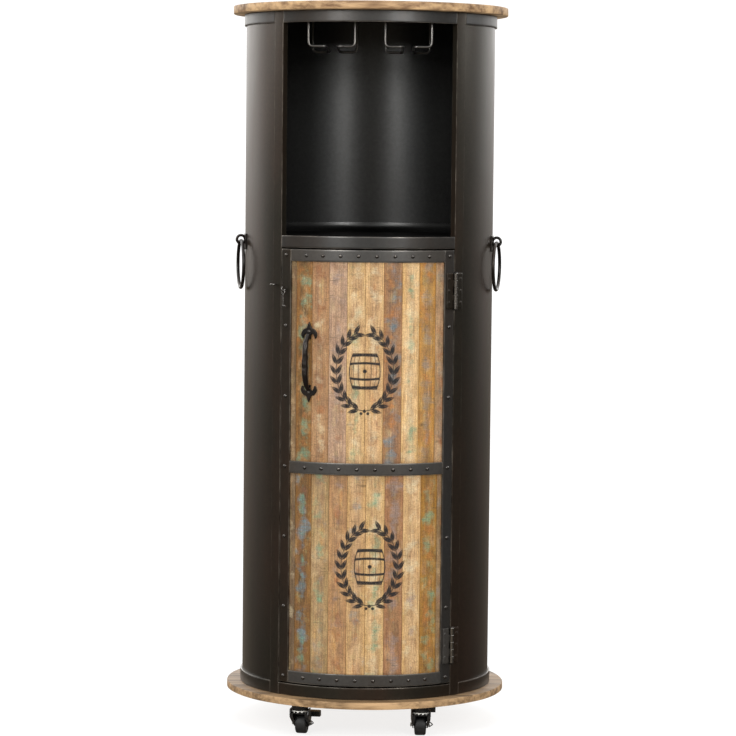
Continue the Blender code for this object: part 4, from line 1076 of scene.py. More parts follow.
def plank(panel, number, start, end, low, high, tones, print_at):
    """One curved plank between two joints; the print's middle is in mm round the drum and m of height."""
    outer = plank_face - tally.uniform(0.0, 0.5) * MM
    inner = round_places(panel)[0].min()
    per_mm = math.degrees(MM / outer)
    start += JOINT_GAP * per_mm
    end -= JOINT_GAP * per_mm
    left, right = start / per_mm, end / per_mm
    printed = right > print_at[0] - PRINT_HALF and left < print_at[0] + PRINT_HALF
    columns = max(4, round((right - left - 2 * CHAMFER) / (FINE_GRID if printed else COARSE_GRID)))
    inside = np.linspace(left + CHAMFER, right - CHAMFER, columns + 1)
    front = [(left, outer - 0.7 * CHAMFER * MM, 1.0), *[(s, outer, 0.0) for s in inside]]
    front += [(right, outer - 0.7 * CHAMFER * MM, 1.0)]
    front[1] = (*front[1][:2], 0.5)
    front[-2] = (*front[-2][:2], 0.5)
    back = [(s, inner, 0.0) for s in np.linspace(right, left, 7)]
    section = front + back
    rows = [low + step * MM for step in END_ROWS]
    rows += list(np.arange(low + ROW_STEP, high - ROW_STEP, ROW_STEP))
    rows += [high - step * MM for step in END_ROWS[::-1]]
    if printed:
        fine = np.arange(print_at[1] - PRINT_REACH * MM, print_at[1] + PRINT_REACH * MM, FINE_GRID * MM)
        rows = sorted([z for z in rows if not fine[0] <= z <= fine[-1]] + list(fine))
    rings = [[polar(r, s * per_mm, z) for s, r, _ in section] for z in rows]
    wear = [worn for _ in rings for _, _, worn in section]
    seed = number + (LOWER_SEED if panel.startswith("lower") else 0)
    finish = old_plank(f"reclaimed_plank_{panel[:5]}_{number}", *tones, seed)
    piece = new_piece(f"{panel[:5]}_plank_{number:02d}", (*skin(rings), wear), finish, panel, sharp=60)
    across = np.array([s for s, _, _ in section])
    grid_s, grid_z = np.meshgrid(across - print_at[0], (np.array(rows) - print_at[1]) / MM)
    ink = stencil(grid_s, grid_z) if printed else np.zeros(grid_s.shape)
    ink[:, len(front) :] = 0
    ends = [s / per_mm for s in angle_span(panel)]
    inward = np.minimum((np.array(rows) - low) / MM, (high - np.array(rows)) / MM)
    inward = np.minimum(inward[:, None], np.minimum(across - ends[0], ends[1] - across)[None, :])
    # Painted shade along the frame: strongest at the edge of the panel, fading inward.
    frame_shade = 0.8 * np.exp(-np.clip(inward, 0, None) / FRAME_SHADE_REACH)
    hollow = 1 - np.abs(2 * (across - left) / (right - left) - 1)
    mark(piece.data, "frame_shade", frame_shade.ravel())
    mark(piece.data, "cup", np.tile(hollow, len(rows)))
    mark(piece.data, "ink", ink.ravel())


def joints_of(panel):
    """Angles of the grooves between the planks of a solid panel, with its two ends."""
    radius, angle, _ = round_places(panel)
    groove = (radius < radius.max() - 0.8 * MM) & (radius > radius.min() + 5 * MM)
    return [angle.min(), *sorted(set(np.round(angle[groove], 2))), angle.max()]


for panel, tones, print_at in (
    ("upper_plank_panel", upper_tones, (-4.0, 0.774)),
    ("lower_plank_panel", lower_tones, (10.0, 0.366)),
):
    joints = joints_of(panel)
    low, high = height_span(panel)
    for number, (start, end) in enumerate(zip(joints, joints[1:])):
        plank(panel, number, start, end, low, high, tones[min(number, len(tones) - 1)], print_at)
    print(panel, "has", len(joints) - 1, "planks")

# %% [markdown]
# Two butt hinges carry the door. Each leaf is a strip of steel that lies on its bar and rolls into
# knuckles round the pin, and three countersunk screws hold it. The leaves of the solids are curved to the
# drum, so the new ones are rolled like the bars. Knuckles are turned, with broken ends that show a line
# between each and the next. The lower of the two leaves on the door takes a paler steel than the others.

# %% Hinges
LEAF = 2.0 * MM
KNUCKLE = 4.5 * MM
KNUCKLES = 5
KNUCKLE_GAP = 0.15 * MM
BROKEN = 0.5 * MM
BORE = 2.5 * MM
LEAF_START = 5.1 * MM
LEAF_LIFT = 0.3 * MM
SCREW_HEAD = 3.6 * MM
SCREW_RISE = 0.7 * MM
# The lower leaf on the door takes the paler strap steel.
PALER_LEAF = "lower_hinge_door_leaf"


def turned(profile, axis, steps=24):
    """Points and faces turned from (radius, height) rows round an upright axis."""
    turns = [2 * math.pi * i / steps for i in range(steps)]
    rings = [[(axis.x + r * math.cos(t), axis.y + r * math.sin(t), z) for t in turns] for r, z in profile]
    return skin(rings)


def knuckle(axis, bottom, top):
    """A turned knuckle with broken ends."""
    rows = [(BORE, bottom), (KNUCKLE - BROKEN, bottom), (KNUCKLE, bottom + BROKEN)]
    rows += [(KNUCKLE, (bottom + top) / 2), (KNUCKLE, top - BROKEN), (KNUCKLE - BROKEN, top), (BORE, top)]
    return plain(turned(rows, axis), 0.75)


for level in ("upper", "lower"):
    low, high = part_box(f"{level}_hinge_pin")
    axis = (low + high) / 2
    axis_angle = math.degrees(math.atan2(axis.x, -axis.y))
    foot, head = height_span(f"{level}_hinge_post_leaf")
    step = (head - foot) / KNUCKLES
    under = bar_outer + LEAF_LIFT
    for part, first, sign in (("post", 0, 1), ("door", 1, -1)):
        node = f"{level}_hinge_{part}_leaf"
        angle = round_places(node)[1]
        edge = angle.max() if part == "post" else angle.min()
        near = axis_angle + sign * math.degrees(LEAF_START / bar_outer)
        shapes = [rolled(under, under + LEAF, *sorted((near, edge)), foot, head)]
        barrels = []
        for k in range(first, KNUCKLES, 2):
            bottom = foot + k * step + KNUCKLE_GAP
            top = foot + (k + 1) * step - KNUCKLE_GAP
            ends = sorted((axis_angle, near + sign * 0.5))
            shapes.append(rolled(under, under + LEAF, *ends, bottom, top))
            barrels.append(knuckle(axis, bottom, top))
        middle = (near + edge) / 2 + sign * 0.6
        for share in (0.17, 0.5, 0.83):
            spot = foot + share * (head - foot)
            shapes.append(dome(middle, spot, SCREW_HEAD, SCREW_RISE, under + LEAF))
        points, faces, wear = joined(*shapes)
        leaf = (points, faces, [0.5 * worn for worn in wear])
        new_piece(node + "_rolled", leaf, strap_steel if node == PALER_LEAF else sheet_steel, node)
        new_piece(node + "_knuckles", joined(*barrels), burnished_steel, node)
    cap = KNUCKLE - 0.4 * MM
    pin = [(0.2 * MM, low.z), (cap - 0.9 * MM, low.z + 0.1 * MM), (cap, low.z + 1.1 * MM)]
    pin += [(cap, foot - 0.2 * MM), (2.2 * MM, foot - 0.1 * MM), (2.2 * MM, head + 0.1 * MM)]
    pin += [(cap, head + 0.2 * MM), (cap, high.z - 1.1 * MM)]
    pin += [(cap - 0.9 * MM, high.z - 0.1 * MM), (0.2 * MM, high.z)]
    node = f"{level}_hinge_pin"
    new_piece(node + "_turned", plain(turned(pin, axis), 0.7), hammered_iron, node)
    print(level, f"hinge, axis at {axis_angle:.1f} degrees")

# %% [markdown]
# The latch is a hook of thin wire that hangs from an eye on the door, with a second eye beside it on the
# post. All three are bent from one wire, so they share the tube and the ring path.

# %% Hook and eyes
LATCH_WIRE = 1.4 * MM
LATCH_EYE = 5.0 * MM
HOOK_EYE = 4.2 * MM
HOOK_BEND = 2.6 * MM

for node, standing, wire in (("hook_eye", True, LATCH_WIRE), ("catch_eye", False, 1.3 * LATCH_WIRE)):
    radius, angle, height = round_places(node)
    rim = radius.max()
    out = Vector(polar(1, (angle.min() + angle.max()) / 2, 0))
    aside = up if standing else Vector((-out.y, out.x, 0))
    level = (height.min() + height.max()) / 2
    centre = out * (rim - LATCH_WIRE - LATCH_EYE) + up * level
    loop = tube(ring_path(centre, out, aside, LATCH_EYE, 36), wire, 10, True)
    shank = tube([out * radius.min() + up * level, centre - out * LATCH_EYE], wire, 10)
    new_piece(node + "_bent", joined(plain(loop, 0.6), plain(shank, 0.3)), latch_steel, node)

radius, angle, height = round_places("latch_hook")
hook_top = height.max() - LATCH_WIRE - HOOK_EYE
hook_out = (radius[height > hook_top].min() + radius[height > hook_top].max()) / 2
hook_angle = (angle[height > hook_top].min() + angle[height > hook_top].max()) / 2
out = Vector(polar(1, hook_angle, 0))
along = Vector((-out.y, out.x, 0))
centre = out * hook_out + up * hook_top
aside = (solid_points("latch_hook") - np.array(centre)) @ np.array(along)
tip = max(aside.max(), aside.min(), key=abs)
foot = up * (height.min() + LATCH_WIRE - hook_top)
loop = tube(ring_path(centre, along, up, HOOK_EYE, 36), LATCH_WIRE, 10, True)
corners = [centre - up * HOOK_EYE, centre + foot, centre + foot + along * tip]
shank = tube(bent(corners, HOOK_BEND), 1.35 * LATCH_WIRE, 12)
new_piece("latch_hook_bent", joined(plain(loop, 0.6), plain(shank, 0.5)), latch_steel, "latch_hook")
print(f"hook {(height.max() - height.min()) / MM:.0f} mm long")

# %% [markdown]
# The castors bring four more finishes: bright zinc plate on plate and axle, matt zinc on the cut teeth,
# black lacquer on cup, fork, pedal and spring, and black rubber on the wheel. Zinc has a faint spangle,
# lacquer a smooth gloss with a film of dust, and rubber a dull tread greyed by the floor. Spangle, orange
# peel and the grain of a mould are a few tenths of a millimetre wide, so they are drawn 1 to 2 mm wide to
# show.

# %% Finishes of the castors


def plated(name, tint, rough, metal, cell_mm, depth, dust):
    """A plated, lacquered or moulded surface with a fine grain and a film of dust."""
    finish, tree, surface = new_finish(name, Metallic=metal)
    place = add(tree, "TexCoord").outputs["Object"]
    cells = add(tree, "TexNoise", {"Vector": place, "Scale": per(cell_mm), "Detail": 5, "Roughness": 0.65})
    film = add(tree, "TexNoise", {"Vector": place, "Scale": per(6 * cell_mm), "Detail": 3})
    worn = add(tree, "MapRange", {0: film, 1: 0.45, 2: 0.75, 4: 0.55})
    tone = add(tree, "Mix", {0: worn, 6: colour(tint), 7: colour(dust)}, **BLENDING)
    shade = add(tree, "MapRange", {0: cells, 1: 0.3, 2: 0.7, 3: 0.85, 4: 1.1})
    final = add(tree, "Mix", {0: 1.0, 6: tone, 7: shade}, **SHADING)
    gloss = add(tree, "MapRange", {0: film, 1: 0.3, 2: 0.7, 3: rough - 0.06, 4: rough + 0.1})
    bump = add(tree, "Bump", {"Height": cells, "Strength": 0.3, "Distance": depth * MM})
    plug(surface, {"Base Color": final, "Roughness": gloss, "Normal": bump})
    return finish


zinc = plated("bright_zinc_plate", "#c4c6c4", 0.30, 1.0, 2.0, 0.05, "#9a9a94")
cut_zinc = plated("matt_zinc_plate", "#e6e6e0", 0.5, 0.35, 2.0, 0.05, "#cacac2")
lacquer = plated("black_lacquer_on_steel", "#151515", 0.26, 0.0, 1.5, 0.05, "#2a2826")
rubber = plated("moulded_black_rubber", "#121212", 0.58, 0.0, 1.2, 0.12, "#24221f")
print("castor finishes:", zinc.name, cut_zinc.name, lacquer.name, rubber.name)

# %% [markdown]
# A swivel castor is a stack of pressed and turned parts. The plate screws to the board and carries a cup
# on a king pin, the fork turns under the cup, and the wheel runs between the cheeks. The front pair has a
# ring of lock teeth, a pedal and a bent spring. Each part is drawn once in the castor's own axes, with the
# swivel at the origin and the wheel trailing along Y, and is then put on all four by a matrix. The matrix
# is read from the solids: the plate's middle is the swivel, and the wheel's middle gives the heading.
#
# The fork comes first. It is pressed from one strip: two cheeks that swell from the axle to a belly, a crown
# across the top, and two ears beside the cup. A press folds the edges of the cheeks in to stiffen them, and
# such a lip fills the gap between cheek and wheel. It starts narrow beside the hub and widens upward.

# %% Fork of a castor
FORK_SHEET = 2.0 * MM
CROWN = 49.0 * MM
BELLY = 41.0 * MM
FORK_LOW = 14.7 * MM
FORK_END = 7.8 * MM
FORK_WIDTHS = (15.8 * MM, 19.7 * MM)
FORK_HALF = 16.0 * MM
LIP_REACH = 12.4 * MM
LIP_TAPER = 0.6
LIP_HEIGHTS = {
    "front": (22, 24, 27, 30, 33, 36, 39, 41, 44, 46.5),
    "rear": (25, 27, 29, 31, 34, 37, 39, 41, 44, 46.5),
}
EAR = (18.3 * MM, 20.3 * MM, 45.0 * MM, 56.8 * MM)
TRAIL = 22.0 * MM
WHEEL = 22.5 * MM
ROUND_TOP = 19.8 * MM


def cheek_width(height):
    """Outer half width of the fork, which swells from the axle up to the belly."""
    share = min(1.0, max(0.0, (height - FORK_LOW) / (BELLY - FORK_LOW)))
    return FORK_WIDTHS[0] + (FORK_WIDTHS[1] - FORK_WIDTHS[0]) * math.sin(math.pi / 2 * share)


def cheek_depth(height):
    """First and last Y of a cheek at a height: round the axle, a slanted front, a square shoulder."""
    if height < ROUND_TOP:
        half = math.sqrt(max(FORK_END**2 - (WHEEL - height) ** 2, (0.8 * MM) ** 2))
        return TRAIL - half, TRAIL + half
    front = np.interp(height, (ROUND_TOP, BELLY), (14.7 * MM, -FORK_HALF))
    rear = np.interp(height, (ROUND_TOP, BELLY, CROWN), (29.3 * MM, 29.8 * MM, FORK_HALF))
    return float(front), float(rear)


def sheet_ring(outer, inner, first, last):
    """An eight-sided ring round the edge of bent sheet, with its edges eased."""
    nip = 0.35 * MM
    (ox, oz), (ix, iz) = outer, inner
    ring = [(ox, first + nip, oz), (ox, last - nip, oz)]
    middle = [(0.9 * ox + 0.1 * ix, 0.9 * oz + 0.1 * iz), (0.1 * ox + 0.9 * ix, 0.1 * oz + 0.9 * iz)]
    ring += [(x, last, z) for x, z in middle]
    ring += [(ix, last - nip, iz), (ix, first + nip, iz)]
    return ring + [(x, first, z) for x, z in middle[::-1]]


def fork_shape():
    """The pressed fork: cheeks and a crown bent from one strip, a lip along each edge, and two ears."""
    rings = []
    heights = [14.75, 15.1, 15.9, 17.0, 18.4, 19.8, 22, 25, 28, 31, 34, 37, 39, 41]
    side = []
    for height in [h * MM for h in heights]:
        wide = cheek_width(height)
        side.append(((wide, height), (wide - FORK_SHEET, height), cheek_depth(height)))
    for outer, inner in (
        ((19.6, 43.5), (17.4, 43.0)),
        ((19.0, 46.4), (16.7, 45.2)),
        ((17.6, 48.2), (15.6, 46.4)),
        ((15.8, 49.0), (14.2, 47.0)),
        ((8.0, 49.0), (8.0, 47.0)),
    ):
        outer, inner = [tuple(v * MM for v in pair) for pair in (outer, inner)]
        side.append((outer, inner, cheek_depth(outer[1])))
    for (ox, oz), (ix, iz), (first, last) in side:
        rings.append(sheet_ring((ox, oz), (ix, iz), first, last))
    for (ox, oz), (ix, iz), (first, last) in side[::-1]:
        rings.append(sheet_ring((-ox, oz), (-ix, iz), first, last))
    shapes = [skin(rings)]
    for sign in (-1, 1):
        ear = []
        for share in (0.0, 0.35, 0.8, 0.95, 1.0):
            height = EAR[2] + (EAR[3] - EAR[2]) * share
            half = FORK_HALF * (1 - 0.25 * share) * (0.9 if share == 1.0 else 1.0)
            ear.append(sheet_ring((sign * EAR[1], height), (sign * EAR[0], height), -half, half))
        shapes.append(skin(ear))
        for edge, heights in LIP_HEIGHTS.items():
            lip = []
            for height in [h * MM for h in heights]:
                seat = cheek_width(height) - FORK_SHEET
                reach = max(LIP_REACH, seat - MM - LIP_TAPER * (height - heights[0] * MM))
                front, rear = cheek_depth(height)
                first = front if edge == "front" else rear - FORK_SHEET
                outer, inner = (sign * (seat + 0.5 * MM), height), (sign * reach, height)
                lip.append(sheet_ring(outer, inner, first, first + FORK_SHEET))
            shapes.append(skin(lip))
    return joined(*[plain(shape, 0.35) for shape in shapes])


print("fork of", len(fork_shape()[0]), "points")

# %% [markdown]
# The plate is a pressed square with round corners, held by a screw near each. Under the rim of the cup on
# the front castors, a ring of cut teeth takes the lock. It is a closed skin whose lower edge goes up and
# down, four rings to a tooth.

# %% Teeth and plate of a castor
CUP_RIM = 53.5 * MM
TEETH = 12
TOOTH = (0.5 * MM, 2.4 * MM, 4.2 * MM, 2.4 * MM)
TEETH_OUTER = 17.3 * MM
TEETH_INNER = 14.0 * MM


def teeth_shape():
    """The zinc ring of lock teeth under the rim of the cup."""
    rings = []
    for i in range(4 * TEETH):
        angle = 90 * i / TEETH
        low = CUP_RIM - TOOTH[i % 4]
        high = CUP_RIM + MM
        section = [(TEETH_OUTER, high), (TEETH_OUTER, low), (TEETH_INNER, low), (TEETH_INNER, high)]
        rings.append([polar(radius, angle, height) for radius, height in section])
    return skin(rings, closed=True)


def plate_shape(low, high, half, corner):
    """A square plate with round corners and eased edges, with a screw head near each corner."""
    outline = []
    for start in range(4):
        x = (half - corner) * (1 if start in (0, 3) else -1)
        y = (half - corner) * (1 if start in (0, 1) else -1)
        turns = [math.pi / 2 * start + math.pi / 2 * step / 6 for step in range(7)]
        outline += [(x, y, math.cos(t), math.sin(t)) for t in turns]
    levels = ((low, corner - 0.4 * MM), (low + 0.4 * MM, corner), (high, corner))
    shapes = [skin([[(x + c * reach, y + s * reach, z) for x, y, c, s in outline] for z, reach in levels])]
    spread = half - 5.5 * MM
    for x, y in ((-1, -1), (-1, 1), (1, -1), (1, 1)):
        head = [(3.6 * MM, low + MM), (3.6 * MM, low - 0.6 * MM), (2.9 * MM, low - 1.5 * MM)]
        head += [(1.4 * MM, low - 2.0 * MM), (0.2 * MM, low - 2.1 * MM)]
        shapes.append(turned(head, Vector((x * spread, y * spread, 0)), 20))
    return joined(*[plain(shape, 0.2) for shape in shapes])


print(TEETH, "teeth of", round(TOOTH[2] / MM, 1), "mm")

# %% [markdown]
# Cup, wheel and axle are turned from rows of radius and height in millimetres. The wheel and the axle are
# the same on both sides, so half of their rows are given and the other half mirrored. Both are turned
# upright and then laid across the castor.

# %% Turned parts of a castor


def mirrored(rows):
    """A profile of (radius, along) rows, followed by the same rows on the other side."""
    return rows + [(radius, -along) for radius, along in rows[::-1]]


cup_rows = [(13.0, 68.0), (14.8, 67.4), (16.4, 66.2), (17.3, 64.6), (17.5, 63.0), (17.5, 54.2), (17.2, 53.6)]
cup_rows += [(10.0, 53.5), (10.0, 49.4), (5.0, 49.3), (5.0, 46.8), (6.5, 46.7), (6.0, 45.8), (0.3, 45.0)]
wheel_rows = [(3.7, 13.0), (8.2, 13.0), (8.8, 12.5), (9.0, 10.4), (15.2, 10.2), (15.8, 10.5)]
wheel_rows += [(16.2, 11.3), (16.8, 11.6), (19.0, 11.6), (20.2, 11.35), (21.3, 10.6)]
wheel_rows += [(22.1, 9.4), (22.5, 8.0), (22.5, 3.0)]
origin = Vector((0, 0, 0))
cup = turned([(r * MM, z * MM) for r, z in cup_rows], origin, 48)
wheel = turned(mirrored([(r * MM, z * MM) for r, z in wheel_rows]), origin, 80)
lie_across = Matrix.Translation((0, TRAIL, WHEEL)) @ Matrix.Rotation(math.pi / 2, 4, "Y")
print("cup of", len(cup[0]), "points, wheel of", len(wheel[0]))

# %% [markdown]
# Now each castor takes its parts. The cup is lacquered black like the fork, and the plate, the teeth and
# the axle are zinc. A pedal is a simple pressed block at an angle, so its solid is copied with the edges
# eased by a bevel, after the flat faces are joined up.

# %% Four castors
PLATE_SHEET = 2.5 * MM
PLATE_CORNER = 5 * MM
PEDAL_EASE = 0.5 * MM
SPRING_WIRE = 1.1 * MM


def eased_copy(node, width):
    """Points and faces of a solid with its edges rounded."""
    shape = bmesh.new()
    shape.from_mesh(nodes[node].data)
    bmesh.ops.dissolve_limit(shape, angle_limit=math.radians(1), verts=shape.verts, edges=shape.edges)
    edges = [edge for edge in shape.edges if edge.calc_face_angle(0) > math.radians(35)]
    rounding = {"segments": 2, "profile": 0.5, "affect": "EDGES", "clamp_overlap": True}
    bmesh.ops.bevel(shape, geom=edges, offset=width, **rounding)
    shape.verts.index_update()
    points = [vertex.co.copy() for vertex in shape.verts]
    faces = [tuple(vertex.index for vertex in face.verts) for face in shape.faces]
    shape.free()
    return points, faces


def own_points(node, heading):
    """The points of a solid in the axes of its castor."""
    return [heading.inverted() @ vertex.co for vertex in nodes[node].data.vertices]


def axle_shape(end):
    """An axle with a round head at each end, that far from the middle."""
    rows = [(0.3 * MM, end), (2.4 * MM, end - 0.2 * MM), (4.1 * MM, end - 0.8 * MM)]
    rows += [(4.8 * MM, end - 1.5 * MM), (4.8 * MM, end - 2.2 * MM), (3.0 * MM, end - 2.2 * MM)]
    return turned(mirrored(rows), origin, 32)


def spring_shape(wire):
    """A bent spring from the points of its solid: out from the cheek and back in, further down."""
    y = (min(p.y for p in wire) + max(p.y for p in wire)) / 2
    top = max(p.z for p in wire) - SPRING_WIRE
    foot = min(p.z for p in wire) + SPRING_WIRE
    reach = max(p.x for p in wire) - SPRING_WIRE
    high_seat, low_seat = [cheek_width(z + SPRING_WIRE) + 0.3 * MM for z in (top, foot)]
    corners = [(high_seat, y, top), (high_seat + 2 * SPRING_WIRE, y, top), (reach, y, (top + foot) / 2)]
    corners += [(low_seat + 2 * SPRING_WIRE, y, foot), (low_seat, y, foot)]
    return tube(bent(corners, SPRING_WIRE, 5), SPRING_WIRE, 10)


for name in ("front_left", "front_right", "rear_left", "rear_right"):
    plate_node, fork_node, wheel_node, axle_node = [
        f"{name}_castor_{part}" for part in ("plate", "fork", "wheel", "axle")
    ]
    low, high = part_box(plate_node)
    swivel = Vector(((low.x + high.x) / 2, (low.y + high.y) / 2, 0))
    wheel_low, wheel_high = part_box(wheel_node)
    back = (wheel_low + wheel_high) / 2 - swivel
    back = Vector((back.x, back.y, 0)).normalized()
    still = Matrix.Translation(swivel)
    heading = still @ Matrix(((back.y, back.x, 0), (-back.x, back.y, 0), (0, 0, 1))).to_4x4()
    plate = plate_shape(high.z - PLATE_SHEET, high.z, (high.x - low.x) / 2, PLATE_CORNER)
    new_piece(plate_node + "_pressed", put(plate, still), zinc, plate_node)
    new_piece(f"{name}_castor_cup", put(cup, still), lacquer, plate_node)
    new_piece(fork_node + "_pressed", put(fork_shape(), heading), lacquer, fork_node, sharp=50)
    new_piece(wheel_node + "_moulded", put(wheel, heading @ lie_across), rubber, wheel_node)
    axle = axle_shape(max(point.x for point in own_points(axle_node, heading)))
    new_piece(axle_node + "_turned", put(axle, heading @ lie_across), zinc, axle_node)
    if name.startswith("front"):
        new_piece(f"{name}_castor_teeth", put(teeth_shape(), still), cut_zinc, plate_node, sharp=20)
        node = f"{name}_brake_pedal"
        new_piece(node + "_eased", eased_copy(node, PEDAL_EASE), lacquer, node)
        node = f"{name}_brake_spring"
        spring = spring_shape(own_points(node, heading))
        new_piece(node + "_bent", put(spring, heading), lacquer, node)
    print(name, f"castor heads {math.degrees(math.atan2(-back.x, back.y)):.0f} degrees off straight")

# %% [markdown]
# One solid keeps its shape: the shelf behind the door. It is a plain sheet with a folded lip and shows only
# when the door is open, so little would be gained by a finer one. It is found as whatever still shows of
# the solids, and takes the finish of the sheet.

# %% Solids that keep their shape
kept = [name for name, node in nodes.items() if not node.hide_render]
for name in kept:
    nodes[name].data.materials.clear()
    nodes[name].data.materials.append(sheet_steel)
print("solids that keep their shape:", ", ".join(kept))

# %% [markdown]
# The camera stands where the photograph was taken: over six metres away with a long lens, a little above
# the middle of the cabinet. It looks slightly down and is a hair off level, so the drum leans by half a
# degree in the picture.

# %% Camera
CAMERA_PLACE = (0.0483, -6.4511, 1.2013)
CAMERA_LENS = 146.17
CAMERA_TURN = 0.424
CAMERA_TILT = -3.886
CAMERA_ROLL = 0.557

camera_data = bpy.data.cameras.new("camera")
camera_data.sensor_width = 36.0
camera_data.lens = CAMERA_LENS
camera = bpy.data.objects.new("camera", camera_data)
bpy.context.scene.collection.objects.link(camera)
camera.matrix_world = (
    Matrix.Translation(CAMERA_PLACE)
    @ Matrix.Rotation(math.radians(CAMERA_TURN), 4, "Z")
    @ Matrix.Rotation(math.radians(90 + CAMERA_TILT), 4, "X")
    @ Matrix.Rotation(math.radians(CAMERA_ROLL), 4, "Z")
)
bpy.context.scene.camera = camera
print("camera at", [round(c, 2) for c in camera.location])

# %% [markdown]
# The studio is a pale sweep: a floor that curves up into a wall, so no horizon shows. It glows a little of
# itself, as lit paper does in an overexposed picture, and reflections leave it out, so that the steel mirrors
# the room alone. The paper is clear from behind, so that the back can be looked at too.

# %% Sweep
SWEEP_HALF = 7.0
SWEEP_BEND = 1.6
SWEEP_BACK = 3.2
SWEEP_FRONT = -9.0
SWEEP_HIGH = 6.0
SWEEP_STEPS = 16
SWEEP_GLOW = 0.8

profile = [(SWEEP_FRONT, 0.0), (SWEEP_BACK - SWEEP_BEND, 0.0)]
for step in range(1, SWEEP_STEPS + 1):
    turn = math.radians(90 * step / SWEEP_STEPS)
    profile.append((SWEEP_BACK - SWEEP_BEND + SWEEP_BEND * math.sin(turn), SWEEP_BEND * (1 - math.cos(turn))))
profile.append((SWEEP_BACK, SWEEP_HIGH))
points = [(x, y, z) for y, z in profile for x in (-SWEEP_HALF, SWEEP_HALF)]
faces = [(2 * i, 2 * i + 1, 2 * i + 3, 2 * i + 2) for i in range(len(profile) - 1)]
mesh = bpy.data.meshes.new("studio_sweep")
mesh.from_pydata(points, [], faces)
mesh.shade_smooth()
paper, tree, surface = new_finish("matt_white_paper", Roughness=0.9, Specular_IOR_Level=0.1)
place = add(tree, "TexCoord").outputs["Object"]
cloud = add(tree, "TexNoise", {"Vector": place, "Scale": per(400), "Detail": 2})
white = add(tree, "Mix", {0: cloud, 6: colour("#7c7c7b"), 7: colour("#80807f")}, **BLENDING)
plug(surface, {"Base Color": white, "Emission Color": colour("#ffffff"), "Emission Strength": SWEEP_GLOW})
clear = add(tree, "BsdfTransparent")
behind = add(tree, "NewGeometry").outputs["Backfacing"]
one_way = add(tree, "MixShader", {0: behind, 1: surface, 2: clear})
plug(tree.nodes["Material Output"], {"Surface": one_way})
mesh.materials.append(paper)
sweep = bpy.data.objects.new("studio_sweep", mesh)
sweep.visible_glossy = False
bpy.context.scene.collection.objects.link(sweep)
print(f"sweep {2 * SWEEP_HALF:.0f} m wide")

# %% [markdown]
# Dark waxed steel shows little of its own colour and mostly mirrors the room, so the lamps are placed for
# their reflections: two tall soft boxes in front draw the two upright gleams in the niche, one overhead
# lights the boards, and two more brighten the wall.

# %% Lamps


def soft_box(name, place, target, wide, tall, power):
    """A rectangular lamp that faces a point."""
    lamp = bpy.data.lights.new(name, "AREA")
    lamp.shape = "RECTANGLE"
    lamp.size = wide
    lamp.size_y = tall
    lamp.energy = power
    item = bpy.data.objects.new(name, lamp)
    bpy.context.scene.collection.objects.link(item)
    aim = Vector(target) - Vector(place)
    item.matrix_world = Matrix.Translation(place) @ aim.to_track_quat("-Z", "Y").to_matrix().to_4x4()
    return item


soft_box("left_soft_box", (-2.3, -4.4, 2.5), (0, 0, 1.0), 1.2, 1.7, 120)
soft_box("right_soft_box", (2.3, -4.4, 2.5), (0, 0, 1.0), 1.2, 1.7, 126)
soft_box("overhead_soft_box", (0, -0.6, 4.2), (0, 0, 0), 4.0, 3.0, 90)
soft_box("backdrop_left_lamp", (-3.4, 0.6, 2.8), (-1.0, 3.2, 1.4), 1.2, 2.4, 60)
soft_box("backdrop_right_lamp", (3.4, 0.6, 2.8), (1.0, 3.2, 1.4), 1.2, 2.4, 60)

# %% [markdown]
# The room itself is what the sides of the drum mirror. It is two rows of greys from front to back, a dark one
# for the floor and a paler one for the walls, blended at eye level. The left is brighter than the right, and
# a dark screen on the right takes about half of the light that comes in low. The camera sees a plain white
# wall instead.

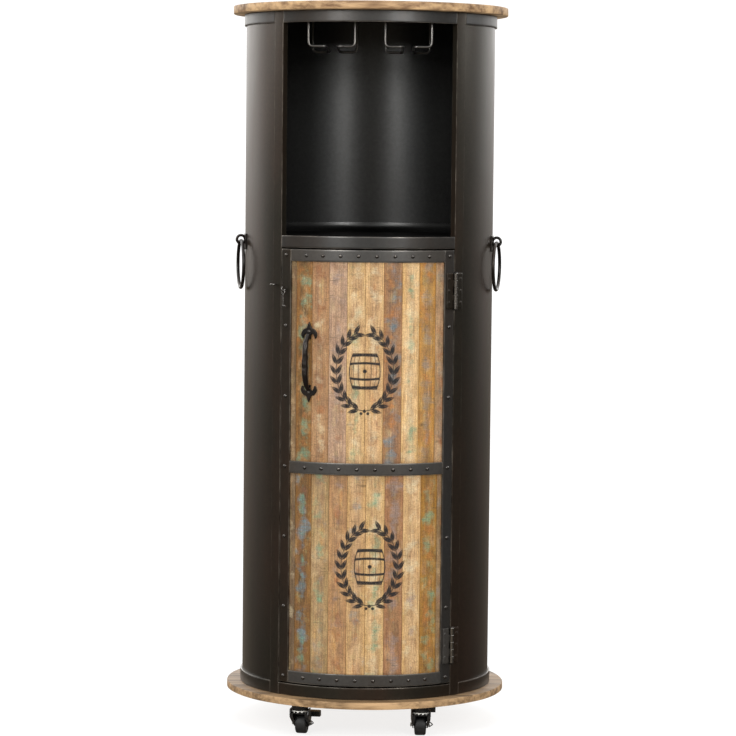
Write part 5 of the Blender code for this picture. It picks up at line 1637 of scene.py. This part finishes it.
# %% Room
PALE_WALL = "#ffffff"
LEFT_LIGHT = 5.6
RIGHT_LIGHT = 2.7
SCREEN_SHARE = 0.55
LOW_ROOM = ((0.0, "#403a32"), (0.5, "#2a2622"), (0.8, "#2e2924"), (1.0, "#453f37"))
HIGH_ROOM = (
    (0.0, "#797979"),
    (0.4, "#757576"),
    (0.58, "#2e2e2f"),
    (0.70, "#b0b0b0"),
    (0.82, "#f0efed"),
    (0.96, "#d0cfcd"),
)

world = bpy.data.worlds.new("studio_room")
world.use_nodes = True
tree = world.node_tree
look = add(tree, "SeparateXYZ", {0: add(tree, "TexCoord").outputs["Generated"]})
turn = add(tree, "MapRange", {0: look.outputs["Y"], 1: -1.0, 2: 1.0})
rooms = []
for stops in (LOW_ROOM, HIGH_ROOM):
    ramp = add(tree, "ValToRGB", {0: turn})
    for number, (place, code) in enumerate(stops):
        stop = ramp.color_ramp.elements[number] if number < 2 else ramp.color_ramp.elements.new(place)
        stop.position = place
        stop.color = colour(code)
    rooms.append(ramp)
rise = add(tree, "MapRange", {0: look.outputs["Z"], 1: -0.03, 2: 0.08}, interpolation_type="SMOOTHSTEP")
room = add(tree, "Mix", {0: rise, 6: rooms[0], 7: rooms[1]}, **BLENDING)
side = add(tree, "MapRange", {0: look.outputs["X"], 1: -1.0, 2: 1.0, 3: LEFT_LIGHT, 4: RIGHT_LIGHT})
screen = add(tree, "MapRange", {0: look.outputs["X"], 1: 0.6, 2: 0.95, 4: SCREEN_SHARE})
under = add(tree, "Math", {0: 1.0, 1: rise}, operation="SUBTRACT")
shut = add(tree, "Math", {0: screen, 1: under}, operation="MULTIPLY")
let_by = add(tree, "Math", {0: 1.0, 1: shut}, operation="SUBTRACT")
screened = add(tree, "Math", {0: side, 1: let_by}, operation="MULTIPLY")
lit = tree.nodes["Background"]
plug(lit, {"Color": room, "Strength": screened})
plain_wall = add(tree, "Background", {"Color": colour(PALE_WALL)})
eye = add(tree, "LightPath").outputs["Is Camera Ray"]
wall = add(tree, "MixShader", {0: eye, 1: lit, 2: plain_wall})
plug(tree.nodes["World Output"], {"Surface": wall})
bpy.context.scene.world = world
bpy.context.scene.view_settings.view_transform = "Standard"
print("room of", len(LOW_ROOM), "and", len(HIGH_ROOM), "greys")
